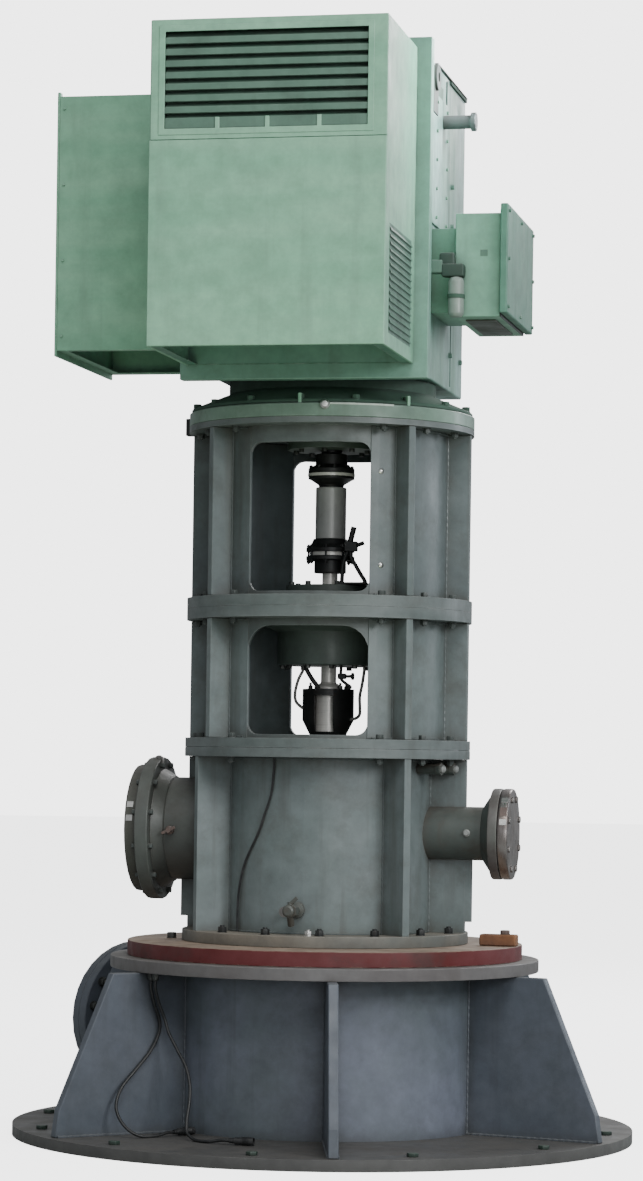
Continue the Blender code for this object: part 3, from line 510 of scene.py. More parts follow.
class Coat(Enum):
    """The pump's finishes."""

    PLATE = Paint(
        "plate_paint", "plate_grey", (0.08, 0.079, 0.078), (0.117, 0.116, 0.113), dust=(0.105, 0.093, 0.08),
        fine=0.6,
    )
    CAN = Paint(
        "can_primer", "primer_grey", (0.112, 0.134, 0.152), (0.165, 0.182, 0.234), patch_share=0.8,
        bare=(0.15, 0.155, 0.165), run_share=0.35,
    )
    CAN_RIB = Paint(
        "can_rib_primer", "primer_grey", (0.074, 0.088, 0.108), (0.105, 0.118, 0.145), bare=(0.13, 0.135, 0.145),
        wear=0.3,
    )
    CAN_FLANGE = Paint(
        "can_flange_paint", "flange_green", (0.11, 0.101, 0.101), (0.16, 0.158, 0.158), bare=(0.3, 0.29, 0.28),
        grime=(0.07, 0.06, 0.05), wear=0.9,
    )
    STOOL = Paint(
        "stool_paint", "stool_grey", (0.13, 0.162, 0.16), (0.18, 0.208, 0.216), grime=(0.062, 0.055, 0.043),
        grime_share=0.6, run_share=0.5, rough=(0.28, 0.5),
    )
    DUSTY = Paint(
        "head_flange_dusty", "stool_grey", (0.125, 0.135, 0.125), (0.24, 0.21, 0.17), grime=(0.055, 0.052, 0.045),
        bare=(0.34, 0.3, 0.24), dust=(0.25, 0.22, 0.18), patch_share=0.8, grime_share=0.6, dust_share=0.9,
    )
    GRIMY = Paint(
        "side_neck_grimy", "stool_grey", (0.062, 0.078, 0.071), (0.088, 0.1, 0.092), grime=(0.075, 0.05, 0.034),
        grime_share=0.85, run_share=0.5, wear=0.3,
    )
    WORN_GREEN = Paint(
        "motor_flange_worn", "motor_green", (0.138, 0.215, 0.172), (0.2, 0.3, 0.24), bare=(0.5, 0.58, 0.53),
        grime=(0.06, 0.065, 0.05), dust=(0.36, 0.42, 0.37), patch_share=0.8, grime_share=0.5, wear=1.0,
    )
    MOTOR = Paint(
        "motor_paint", "motor_green", (0.19, 0.415, 0.278), (0.262, 0.495, 0.345), bare=(0.42, 0.52, 0.47),
        dust=(0.33, 0.38, 0.34), grime=(0.13, 0.19, 0.155), patch_share=0.7, grime_share=0.3, run_share=0.3,
        wear=0.6, rough=(0.34, 0.54), fine=0.15, broad=1.6, coat=0.08, stretch=(0.5, 0.5, 3.2),
    )
    FRAME = Paint(
        "frame_paint", "motor_green", (0.15, 0.3, 0.225), (0.3, 0.47, 0.43), grime=(0.06, 0.1, 0.085),
        bare=(0.42, 0.54, 0.5), dust=(0.33, 0.38, 0.34), patch_share=1.0, grime_share=0.45, run_share=0.7,
        wear=0.7, rough=(0.3, 0.52), fine=0.15, broad=1.6, stretch=(2.2, 2.2, 0.5),
    )
    # A darker copy of the motor green: painted shade on the front plate behind the hood; the frame side's bolts wear
    # it too.
    DULL_GREEN_AND_SHADE = Paint(
        "motor_green_dull_and_shaded", "motor_green", (0.145, 0.3, 0.232), (0.18, 0.34, 0.27), bare=(0.36, 0.46, 0.41),
        dust=(0.3, 0.35, 0.31), grime=(0.09, 0.13, 0.105), wear=0.6, rough=(0.3, 0.5), fine=0.15, broad=1.6,
    )
    BOX = Paint(
        "box_green", "motor_green", (0.166, 0.345, 0.25), (0.205, 0.39, 0.29), bare=(0.36, 0.46, 0.41),
        dust=(0.3, 0.35, 0.31), grime=(0.09, 0.13, 0.105), patch_share=0.9, grime_share=0.5, rough=(0.3, 0.5),
    )
    LID = Paint(
        "box_lid_green", "motor_green", (0.08, 0.205, 0.145), (0.105, 0.24, 0.175), bare=(0.4, 0.52, 0.46),
        dust=(0.3, 0.35, 0.31), grime=(0.05, 0.075, 0.058), grime_share=0.5, wear=0.9, rough=(0.4, 0.6),
    )
    # Darker than the motor's paint: painted shade on the louvre's blades and strip in their recess; the canister link
    # and the box mark wear it too.
    LOUVRE = Paint(
        "louvre_green", "motor_green", (0.085, 0.165, 0.122), (0.11, 0.195, 0.15), bare=(0.22, 0.31, 0.26),
        grime_share=0.4, wear=0.3,
    )
    CONE = Paint(
        "cone_paint", "motor_dark", (0.038, 0.082, 0.058), (0.06, 0.125, 0.088), bare=(0.13, 0.19, 0.16),
        dust=(0.045, 0.085, 0.062), rough=(0.7, 0.9),
    )
    # Painted shade: the louvre's slopes, the sheet behind the louvre and the strip under the right lifting lug.
    SHADE_GREEN = Paint(
        "painted_shade_green", "motor_dark", (0.045, 0.125, 0.085), (0.06, 0.15, 0.105), wear=0.0, dust_share=0.2,
    )
    GRILLE = Paint(
        "grille_green", "motor_green", (0.072, 0.152, 0.108), (0.09, 0.18, 0.13), grime_share=0.5, wear=0.0,
    )
    # A little darker than the grille: painted shade in the slits.
    SLIT = Paint("grille_slit", "motor_green", (0.066, 0.138, 0.097), (0.08, 0.158, 0.113), wear=0.0)
    BLACKENED = Paint(
        "bracket_dark", "motor_dark", (0.016, 0.038, 0.027), (0.03, 0.06, 0.045), wear=0.5,
        bare=(0.1, 0.16, 0.13),
    )
    JOINT = Paint(
        "joint_grey", "stool_grey", (0.098, 0.12, 0.118), (0.15, 0.172, 0.172), grime=(0.05, 0.047, 0.038),
        bare=(0.24, 0.255, 0.25), grime_share=0.6, patch_share=0.8, wear=0.9, stretch=(1.0, 1.0, 6.0),
    )
    # A darker copy of the stool paint: painted shade on the upper stool under the motor.
    UPPER_SHADED = Paint(
        "upper_stool_shaded_paint", "stool_grey", (0.098, 0.124, 0.124), (0.145, 0.17, 0.178),
        grime=(0.058, 0.052, 0.04), grime_share=0.55, run_share=0.5, rough=(0.32, 0.55),
    )
    JOINT_BOLT = Paint("joint_bolt_paint", "stool_grey", (0.052, 0.066, 0.062), (0.085, 0.1, 0.096), wear=0.4)
    NOZZLE = Paint(
        "nozzle_grey", "primer_grey", (0.068, 0.07, 0.068), (0.086, 0.098, 0.088), patch_share=0.9,
        grime=(0.05, 0.038, 0.03), bare=(0.26, 0.255, 0.25), grime_share=0.6, wear=0.5, rough=(0.3, 0.55),
    )
    RED_RIM = RedRim(
        "red_oxide_rim", "rusty_cover", (0.1, 0.0125, 0.0125), (0.135, 0.028, 0.031), (0.045, 0.026, 0.023),
        (0.4, 0.31, 0.235), (0.2, 0.14, 0.105),
    )
    RUST = Paint(
        "rust_scale", "rust_orange", (0.17, 0.072, 0.034), (0.42, 0.2, 0.085), grime=(0.05, 0.025, 0.018),
        grime_share=0.9, patch_share=0.7, bare=(0.5, 0.3, 0.18), dust_share=0.1, rough=(0.6, 0.85), fine=1.0,
    )
    BARE = Steel(
        "bare_turned", "bare_steel", (0.36, 0.345, 0.335), (0.16, 0.15, 0.14), stretch=(300.0, 12.0, 12.0),
        rust_share=0.5,
    )
    DARK_STEEL = Steel(
        "blackened_steel", "dark_steel", (0.045, 0.047, 0.047), (0.02, 0.02, 0.02), rough=(0.35, 0.55),
        metallic=0.6,
    )
    BOLT = Steel(
        "bolt_steel", "dark_steel", (0.1, 0.105, 0.1), (0.04, 0.042, 0.04), rough=(0.35, 0.6), metallic=0.7,
    )
    FACE = Steel(
        "blank_turned", "bare_steel", (0.36, 0.335, 0.325), (0.13, 0.095, 0.08), stretch=(300.0, 12.0, 12.0),
        stain_share=0.8,
    )
    BROWNED = Paint("browned_steel", "dark_steel", (0.115, 0.078, 0.068), (0.17, 0.12, 0.105), wear=0.3)
    # A pale green for the arc on the motor flange's edge: a painted highlight.
    EDGE_HIGHLIGHT = Paint(
        "flange_edge_highlight", "motor_green", (0.66, 0.74, 0.68), (0.42, 0.52, 0.46), patch_share=0.8,
        grime_share=0.5,
    )
    DULL_STEEL = Steel(
        "dull_steel", "bare_steel", (0.3, 0.31, 0.3), (0.2, 0.21, 0.2), rough=(0.45, 0.6), metallic=0.2,
    )
    BLANK = Paint(
        "blank_brown_grey", "bare_steel", (0.105, 0.092, 0.092), (0.085, 0.115, 0.09),
        grime=(0.04, 0.028, 0.024), bare=(0.3, 0.28, 0.27), patch_share=0.8, grime_share=0.8, wear=0.6,
        rough=(0.3, 0.5), stretch=(1.0, 1.0, 0.7),
    )
    DARK_BLANK = Paint(
        "blank_dark", "bare_steel", (0.074, 0.061, 0.059), (0.085, 0.105, 0.08), grime=(0.03, 0.023, 0.021),
        bare=(0.26, 0.25, 0.24), grime_share=0.8, rough=(0.3, 0.5),
    )
    BEAD = Paint(
        "weld_bead_paint", "stool_grey", (0.1, 0.124, 0.122), (0.13, 0.155, 0.16), wear=0.0, grime_share=0.5,
    )
    BRIGHT = Steel("bright_steel", "bare_steel", (0.72, 0.71, 0.69), (0.5, 0.5, 0.48), rust_share=0.05)
    SHAFT = Steel(
        "shaft_turned", "shaft_steel", (0.94, 0.92, 0.87), (0.66, 0.65, 0.61), rust_share=0.1, metallic=0.2,
    )
    COUPLING = Steel(
        "coupling_steel", "shaft_steel", (0.52, 0.53, 0.51), (0.35, 0.36, 0.35), rough=(0.3, 0.5), metallic=0.2,
    )
    BEARING = Paint(
        "bearing_dark", "motor_dark", (0.08, 0.105, 0.096), (0.12, 0.15, 0.135), wear=0.3, grime_share=0.6,
    )
    CANISTER = Paint(
        "canister_enamel", "canister_white", (0.185, 0.235, 0.205), (0.26, 0.31, 0.28), grime_share=0.4,
        run_share=0.4, rough=(0.25, 0.45),
    )
    HOSE = Rubber("hose_black", "dark_steel", (0.022, 0.023, 0.022), (0.06, 0.06, 0.058))
    LEAD = Rubber("lead_jacket", "lead_black", (0.011, 0.012, 0.013), (0.034, 0.034, 0.035))
    PALE_PIPE = Rubber("pale_pipe", "bare_steel", (0.22, 0.22, 0.21), (0.34, 0.34, 0.32), (0.3, 0.5))


# Places and shapes


def turned(degrees: float, axis: str) -> Matrix:
    """A turn about one of the axes."""
    return Matrix.Rotation(math.radians(degrees), 4, axis)


def at_bearing(bearing: float, radius: float, z: float = 0.0) -> Vector:
    """The point at this bearing, distance from the axis and height."""
    angle = math.radians(bearing)
    return Vector((radius * math.sin(angle), -radius * math.cos(angle), z))


def upright(bearing: float, radius: float, z: float, flip: bool = False) -> Matrix:
    """A place where local +Z points up, or down, and local -Y points outwards at the bearing."""
    place = Matrix.Translation(at_bearing(bearing, radius, z)) @ turned(bearing, "Z")
    return place @ turned(180, "X") if flip else place


def outward(bearing: float, radius: float = 0.0, z: float = 0.0) -> Matrix:
    """A place where local +Z points outwards at the bearing and local +Y points up."""
    return Matrix.Translation(at_bearing(bearing, radius, z)) @ turned(bearing, "Z") @ turned(90, "X")


def moved(x: float = 0.0, y: float = 0.0, z: float = 0.0) -> Matrix:
    """A plain shift."""
    return Matrix.Translation((x, y, z))


def every(first: float, count: int) -> list[float]:
    """Bearings at equal steps round the axis."""
    return [first + 360.0 * i / count for i in range(count)]


def evenly(first: float, last: float, count: int, inset: float = 0.0) -> list[float]:
    """Values at equal steps, from so far inside the first end to so far inside the last."""
    return [first + inset + (last - first - 2 * inset) * i / (count - 1) for i in range(count)]


def bays_between(edges: Sequence[float], margin: float) -> list[Bay]:
    """The bearings from each edge to the next, with a margin left free at both ends."""
    return [(first + margin, last - margin) for first, last in zip(edges, edges[1:])]


def ring_of(circle: float, z: float, bearings: Sequence[float], flip: bool = False) -> list[Matrix]:
    """Upright places on a circle round the axis."""
    return [upright(bearing, circle, z, flip) for bearing in bearings]


def flange_spots(circle: float, count: int) -> list[Matrix]:
    """Shifts round an upright flange's middle, the first one half a step from its side."""
    angles = [FULL_TURN * (i + 0.5) / count for i in range(count)]
    return [moved(circle * math.cos(angle), circle * math.sin(angle)) for angle in angles]


def eased(profile: Profile, ease: float) -> list[tuple[float, float]]:
    """Rounds the corners of a turned outline.

    Args:
        profile: (radius, height) points; one that starts off the axis closes on itself.
        ease: how far each corner is cut back, at most.

    Returns:
        The outline with an arc of three points at each corner.
    """
    points = [Vector(point) for point in profile]
    closed = profile[0][0] > 0
    result = []
    for i, corner in enumerate(points):
        before, after = points[i - 1], points[(i + 1) % len(points)]
        end = not closed and i in (0, len(points) - 1)
        if end or (corner - before).angle(after - corner) < math.radians(15):
            result.append(corner)
            continue
        reach = min(ease, 0.42 * (corner - before).length, 0.42 * (after - corner).length)
        first = corner + (before - corner).normalized() * reach
        last = corner + (after - corner).normalized() * reach
        result += [first, (first + last) / 4 + corner / 2, last]
    return [(point.x, point.y) for point in result]


def spun(profile: Profile, steps: int = 96, ease: float = 0.0) -> Shape:
    """A shape turned about Z.

    Args:
        profile: (radius, height) points up the outside, from the axis or from a bore.
        steps: how many flats stand for the round.
        ease: how far its corners are rounded.

    Returns:
        The closed shape.
    """
    outline = eased(profile, ease) if ease else profile
    shape = bmesh.new()
    points = [shape.verts.new((radius, 0.0, z)) for radius, z in outline]
    edges = [shape.edges.new(pair) for pair in zip(points, points[1:])]
    if profile[0][0] > 0:
        edges.append(shape.edges.new((points[-1], points[0])))
    bmesh.ops.spin(
        shape, geom=points + edges, axis=(0, 0, 1), cent=(0, 0, 0), angle=FULL_TURN, steps=steps, use_merge=True
    )
    bmesh.ops.remove_doubles(shape, verts=shape.verts, dist=1e-6)
    bmesh.ops.recalc_face_normals(shape, faces=shape.faces)
    return shape


def disc(radius: float, bottom: float, top: float, bore: float = 0.0) -> list[tuple[float, float]]:
    """The outline of a disc, or of a ring where there is a bore."""
    return [(bore, bottom), (radius, bottom), (radius, top), (bore, top)]


def block(low: Sequence[float], high: Sequence[float]) -> Shape:
    """A box.

    Args:
        low: its lowest corner.
        high: its highest corner.

    Returns:
        The box.
    """
    shape = bmesh.new()
    middle = (Vector(low) + Vector(high)) / 2
    size = Matrix.Diagonal((*(Vector(high) - Vector(low)), 1.0))
    bmesh.ops.create_cube(shape, size=1.0, matrix=Matrix.Translation(middle) @ size)
    return shape


def softened(shape: Shape, ease: float, segments: int = 2) -> Shape:
    """Bevels the sharp edges of a small shape.

    Args:
        shape: the shape, which is changed.
        ease: how wide the bevel is.
        segments: how many flats it has.

    Returns:
        The same shape.
    """
    edges = [edge for edge in shape.edges if edge.calc_face_angle(0.0) > SHARP]
    bmesh.ops.bevel(
        shape, geom=edges, offset=ease, offset_type="OFFSET", segments=segments, profile=0.5,
        affect="EDGES", material=-1, clamp_overlap=True,
    )
    return shape


def slab(low: Sequence[float], high: Sequence[float], ease: float, segments: int = 2) -> Shape:
    """A box with eased edges."""
    return softened(block(low, high), ease, segments)


def rod(radius: float, length: float, sides: int = 20) -> Shape:
    """A rod that stands on the origin.

    Args:
        radius: half its thickness.
        length: its length.
        sides: how many flats stand for the round.

    Returns:
        The rod.
    """
    shape = bmesh.new()
    bmesh.ops.create_cone(
        shape, cap_ends=True, segments=sides, radius1=radius, radius2=radius, depth=length,
        matrix=moved(z=length / 2),
    )
    return shape


def copied(node: str) -> Shape:
    """A clean copy of a frame node: its triangles are joined and its flat faces made whole.

    Args:
        node: the frame node.

    Returns:
        The copy.
    """
    shape = bmesh.new()
    shape.from_mesh(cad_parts[node].data)
    bmesh.ops.remove_doubles(shape, verts=shape.verts, dist=2e-5)
    bmesh.ops.dissolve_limit(
        shape, angle_limit=math.radians(0.6), verts=shape.verts, edges=shape.edges, use_dissolve_boundaries=False
    )
    return shape


def placed(shape: Shape, place: Matrix) -> Shape:
    """Moves a whole shape."""
    bmesh.ops.transform(shape, matrix=place, verts=shape.verts)
    return shape


def repeated(template: Shape, places: Iterable[Matrix]) -> Shape:
    """Copies of a small shape in one mesh.

    Args:
        template: the shape, which is used up.
        places: where each copy stands.

    Returns:
        All the copies.
    """
    mesh = bpy.data.meshes.new("template")
    template.to_mesh(mesh)
    template.free()
    shape = bmesh.new()
    for place in places:
        count = len(shape.verts)
        shape.from_mesh(mesh)
        shape.verts.ensure_lookup_table()
        bmesh.ops.transform(shape, matrix=place, verts=shape.verts[count:])
    bpy.data.meshes.remove(mesh)
    return shape


def together(*shapes: Shape) -> Shape:
    """Several shapes in one mesh.

    Args:
        shapes: the shapes; the later ones are used up.

    Returns:
        The first shape, with the others in it.
    """
    first = shapes[0]
    for other in shapes[1:]:
        mesh = bpy.data.meshes.new("part")
        other.to_mesh(mesh)
        other.free()
        first.from_mesh(mesh)
        bpy.data.meshes.remove(mesh)
    return first


def swept(path: Path, radius: float, sides: int = 10, ripple: float = 0.0) -> Shape:
    """A round bar along a path.

    Args:
        path: the points of its middle line.
        radius: half its thickness.
        sides: how many flats stand for the round.
        ripple: by how much every second ring is thinner, as on a weld.

    Returns:
        The closed bar.
    """
    shape = bmesh.new()
    points = [Vector(point) for point in path]
    ways = [(points[min(i + 1, len(points) - 1)] - points[max(i - 1, 0)]).normalized() for i in range(len(points))]
    start = Matrix.Translation(points[0]) @ ways[0].to_track_quat("Z", "Y").to_matrix().to_4x4()
    ring = bmesh.ops.create_circle(shape, cap_ends=True, segments=sides, radius=radius, matrix=start)
    face = ring["verts"][0].link_faces[0]
    thickness = 1.0
    for i in range(1, len(points)):
        raised = bmesh.ops.extrude_face_region(shape, geom=[face])["geom"]
        verts = risen(raised)
        face = next(item for item in raised if isinstance(item, bmesh.types.BMFace))
        wanted = 1.0 - ripple * (i % 2)
        turn = ways[i - 1].rotation_difference(ways[i]).to_matrix().to_4x4()
        change = Matrix.Scale(wanted / thickness, 4)
        thickness = wanted
        place = Matrix.Translation(points[i]) @ turn @ change @ Matrix.Translation(-points[i - 1])
        bmesh.ops.transform(shape, matrix=place, verts=verts)
    bmesh.ops.recalc_face_normals(shape, faces=shape.faces)
    return shape


def weld(path: Path, radius: float) -> Shape:
    """A weld bead along a path."""
    return swept(path, radius, BEAD_SIDES, BEAD_RIPPLE)


def smooth_path(points: Path, count: int = 8) -> list[Vector]:
    """A smooth curve through points.

    Args:
        points: the points.
        count: how many steps there are between each two.

    Returns:
        The curve's points.
    """
    knots = [Vector(point) for point in points]
    knots = [2 * knots[0] - knots[1], *knots, 2 * knots[-1] - knots[-2]]
    path = []
    for a, b, c, d in zip(knots, knots[1:], knots[2:], knots[3:]):
        for i in range(count):
            t = i / count
            path.append(
                0.5 * (2 * b + (c - a) * t + (2 * a - 5 * b + 4 * c - d) * t * t + (3 * b - a - 3 * c + d) * t ** 3)
            )
    return [*path, knots[-2]]


def straight_path(start: Vector, end: Vector, step: float) -> list[Vector]:
    """Points at about one step along a line."""
    count = max(2, round((end - start).length / step))
    return [start.lerp(end, i / count) for i in range(count + 1)]


def arc_path(first: float, last: float, radius: float, z: float, step: float) -> list[Vector]:
    """Points at about one step along a level arc round the axis."""
    count = max(3, round(math.radians(abs(last - first)) * radius / step))
    return [at_bearing(first + (last - first) * i / count, radius, z) for i in range(count + 1)]


def nut(across: float, stud: float = 0.0, washer: bool = True) -> Shape:
    """A hexagon nut or bolt head that stands on the origin.

    Args:
        across: its width across the flats.
        stud: how far a stud's end stands out of it.
        washer: whether it lies on a washer.

    Returns:
        The nut with its washer and stud.
    """
    lift = 0.1 * across if washer else 0.0
    tall = 0.62 * across
    body = softened(placed(rod(across / math.sqrt(3), tall, 6), moved(z=lift)), 0.05 * across, 1)
    if washer:
        body = together(body, rod(0.62 * across, lift, 24))
    if stud:
        body = together(body, softened(rod(0.3 * across, lift + tall + stud, 16), 0.04 * across, 1))
    return body


def flange_nuts(fastener: Shape, bearing: float, z: float, clamp: Clamp, spots: Sequence[Matrix]) -> Shape:
    """Nuts on both sides of a pair of upright flanges.

    Args:
        fastener: the nut, which is used up.
        bearing: where the flanges face.
        z: the height of their middle.
        clamp: how far their back and their face are from the axis.
        spots: the shifts from their middle.

    Returns:
        All the nuts.
    """
    back, face = (outward(bearing, out, z) for out in clamp)
    return repeated(fastener, [*(back @ spot @ turned(180, "X") for spot in spots), *(face @ spot for spot in spots)])


def risen(geometry: Sequence[object]) -> list[bmesh.types.BMVert]:
    """The points among what an extrusion made."""
    return [item for item in geometry if isinstance(item, bmesh.types.BMVert)]


def framed(outer: Sequence[float], inner: Sequence[float], depth: float) -> Shape:
    """A plate with one opening, flat on local Z = 0 and thick towards +Z.

    Args:
        outer: its left, bottom, right and top.
        inner: the opening's left, bottom, right and top.
        depth: its thickness.

    Returns:
        The closed plate.
    """
    shape = bmesh.new()
    edges = []
    for left, bottom, right, top in (outer, inner):
        spots = ((left, bottom), (right, bottom), (right, top), (left, top))
        corners = [shape.verts.new((x, y, 0.0)) for x, y in spots]
        edges += [shape.edges.new((corners[i], corners[(i + 1) % 4])) for i in range(4)]
    faces = bmesh.ops.bridge_loops(shape, edges=edges)["faces"]
    raised = bmesh.ops.extrude_face_region(shape, geom=faces, use_keep_orig=True)["geom"]
    bmesh.ops.translate(shape, vec=(0, 0, depth), verts=risen(raised))
    bmesh.ops.recalc_face_normals(shape, faces=shape.faces)
    return shape


def bent_strip(profile: Profile, width: float, thick: float) -> Shape:
    """A folded strip that runs along local X, centred on it.

    Args:
        profile: its section in local Y and Z.
        width: how long it is.
        thick: its thickness.

    Returns:
        The closed strip.
    """
    shape = bmesh.new()
    points = [shape.verts.new((-width / 2, y, z)) for y, z in profile]
    edges = [shape.edges.new(pair) for pair in zip(points, points[1:])]
    raised = bmesh.ops.extrude_edge_only(shape, edges=edges)["geom"]
    bmesh.ops.translate(shape, vec=(width, 0, 0), verts=risen(raised))
    bmesh.ops.recalc_face_normals(shape, faces=shape.faces)
    bmesh.ops.solidify(shape, geom=shape.faces[:], thickness=thick)
    bmesh.ops.recalc_face_normals(shape, faces=shape.faces)
    return shape


# Sub-assemblies


class SubAssembly:
    """Pieces that belong together. Each one rides on the frame unless it says otherwise."""

    def add(
        self, name: str, shape: Shape, coat: Coat, stands_for: Sequence[str] = (), ease: float = 0.0,
        body: str = "frame",
    ) -> bpy.types.Object:
        """Makes a finished piece.

        Args:
            name: the piece's name.
            shape: its shape in the row frame, which is used up.
            coat: its finish.
            stands_for: the frame nodes that it replaces.
            ease: how wide its sharp edges are bevelled.
            body: the body that it rides on.

        Returns:
            The piece.
        """
        mesh = bpy.data.meshes.new(name)
        shape.to_mesh(mesh)
        shape.free()
        mesh.shade_smooth()
        mesh.set_sharp_from_angle(angle=SHARP)
        piece = bpy.data.objects.new(name, mesh)
        bpy.context.scene.collection.objects.link(piece)
        if ease:
            bevel = piece.modifiers.new("eased", "BEVEL")
            bevel.width = ease
            bevel.segments = 2
            bevel.limit_method = "ANGLE"
            bevel.angle_limit = SHARP
        even = piece.modifiers.new("even_normals", "WEIGHTED_NORMAL")
        even.keep_sharp = True
        graph = bpy.context.evaluated_depsgraph_get()
        piece.data = bpy.data.meshes.new_from_object(piece.evaluated_get(graph))
        piece.modifiers.clear()
        bpy.data.meshes.remove(mesh)
        piece.data.name = name
        piece.data.materials.clear()
        piece.data.materials.append(coat.value.material())
        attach(piece, body)
        if stands_for:
            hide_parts(*stands_for)
        LOG.info("%s: %d faces", name, len(piece.data.polygons))
        return piece

    def dress(self, node: str, coat: Coat, ease: float = 0.003, body: str = "frame") -> bpy.types.Object:
        """A copy of a frame node with eased edges, in the node's place."""
        return self.add(f"{node}_skin", copied(node), coat, (node,), ease, body)

    def round(self, node: str, coat: Coat, ease: float = 0.004, bore: float = 0.0) -> bpy.types.Object:
        """A smoothly turned disc or ring in the place of a frame node."""
        low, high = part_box(node)
        return self.add(f"{node}_skin", spun(disc(high.x, low.z, high.z, bore), 128, ease), coat, (node,))


LEAD_ROUTES: dict[str, Path] = {
    "lead_left": (
        (-0.546, -0.573, 0.6194), (-0.546, -0.573, 0.59), (-0.535, -0.56, 0.53), (-0.521, -0.541, 0.475),
        (-0.521, -0.537, 0.425), (-0.547, -0.56, 0.355), (-0.592, -0.606, 0.285), (-0.631, -0.66, 0.222),
        (-0.641, -0.699, 0.16), (-0.619, -0.722, 0.11), (-0.581, -0.731, 0.072), (-0.542, -0.719, 0.0515),
        (-0.51, -0.695, 0.0496), (-0.481, -0.664, 0.052), (-0.457, -0.637, 0.059), (-0.441, -0.617, 0.0593),
    ),
    "lead_right": (
        (-0.523, -0.596, 0.6194), (-0.523, -0.596, 0.59), (-0.51, -0.581, 0.53), (-0.493, -0.564, 0.475),
        (-0.475, -0.572, 0.425), (-0.436, -0.595, 0.365), (-0.392, -0.627, 0.3), (-0.369, -0.66, 0.235),
        (-0.365, -0.687, 0.17), (-0.367, -0.71, 0.115), (-0.359, -0.733, 0.072), (-0.329, -0.758, 0.0515),
        (-0.292, -0.79, 0.0496), (-0.25, -0.812, 0.052), (-0.208, -0.822, 0.059), (-0.18, -0.824, 0.0593),
    ),
}


@dataclass
class Leads(SubAssembly):
    """Two free leads that end in connectors on the plate, and the thin lead down the head's front."""

    radius: float = 0.006
    lowest: float = 0.0493
    plug_radius: float = 0.016
    gland_collar: float = 0.011

    def build(self) -> None:
        """Makes the leads with their glands and connectors."""
        for name, route in LEAD_ROUTES.items():
            self.free_lead(name, route)
        self.dress("head_lead", Coat.LEAD, 0.0)

    def free_lead(self, name: str, route: Path) -> None:
        """One free lead, swept along its route.

        Args:
            name: its frame node.
            route: the points that its middle line runs through.
        """
        path = smooth_path(route)
        for point in path:
            point.z = max(point.z, self.lowest)
        lead = self.add(f"{name}_skin", swept(path, self.radius, 12), Coat.LEAD, (name,))
        self.gland(f"{name}_gland", path[0])
        heading = path[-1] - path[-2]
        heading.z = 0.0
        place = moved(path[-1].x, path[-1].y, self.lowest + self.plug_radius - self.radius)
        place = place @ heading.to_track_quat("Z", "Y").to_matrix().to_4x4()
        plug = self.add(f"{name}_plug_skin", placed(self.connector(), place), Coat.LEAD, (f"{name}_plug",))

    def gland(self, node: str, top: Vector) -> None:
        """The gland that holds a lead under the can flange.

        Args:
            node: its frame node.
            top: where the lead leaves the flange.
        """
        low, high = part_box(node)
        rise = self.gland_collar
        collar = spun([(0, 0), (0.0095, 0), (0.0125, 0.004), (0.0125, rise), (0, rise)], 24, 0.001)
        hexagon = placed(softened(rod(0.014, high.z - low.z - rise, 6), 0.001), moved(z=rise))
        self.add(f"{node}_skin", placed(together(collar, hexagon), moved(top.x, top.y, low.z)), Coat.BOLT, (node,))

    def connector(self) -> Shape:
        """A round connector: its boot, body and ridged ring.

        Returns:
            The connector, standing on its boot.
        """
        rim = self.plug_radius
        profile = [(0, 0.0003), (0.008, 0.0003), (0.011, 0.022), (0.0135, 0.024), (0.0135, 0.05)]
        for i in range(6):
            z = 0.05 + 0.005 * i
            profile += [(rim, z + 0.001), (rim, z + 0.003), (rim - 0.0012, z + 0.004)]
        return spun([*profile, (0.0145, 0.082), (0.0145, 0.095), (0.012, 0.095), (0.012, 0.078), (0, 0.078)], 32)


@dataclass
class Foundation(SubAssembly):
    """The round plate on the ground."""

    ease: float = 0.004
    anchors: int = 12
    anchor_turn: float = -1.5
    anchor_circle: float = 1.11

    def build(self) -> None:
        """Makes the plate and the heads of the bolts that hold it down."""
        self.dress("base_plate", Coat.PLATE, self.ease)
        _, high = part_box("base_plate")
        places = ring_of(self.anchor_circle, high.z, every(self.anchor_turn, self.anchors))
        self.add("anchor_bolts", repeated(softened(rod(0.0225, 0.014, 6), 0.002, 1), places), Coat.BLACKENED)


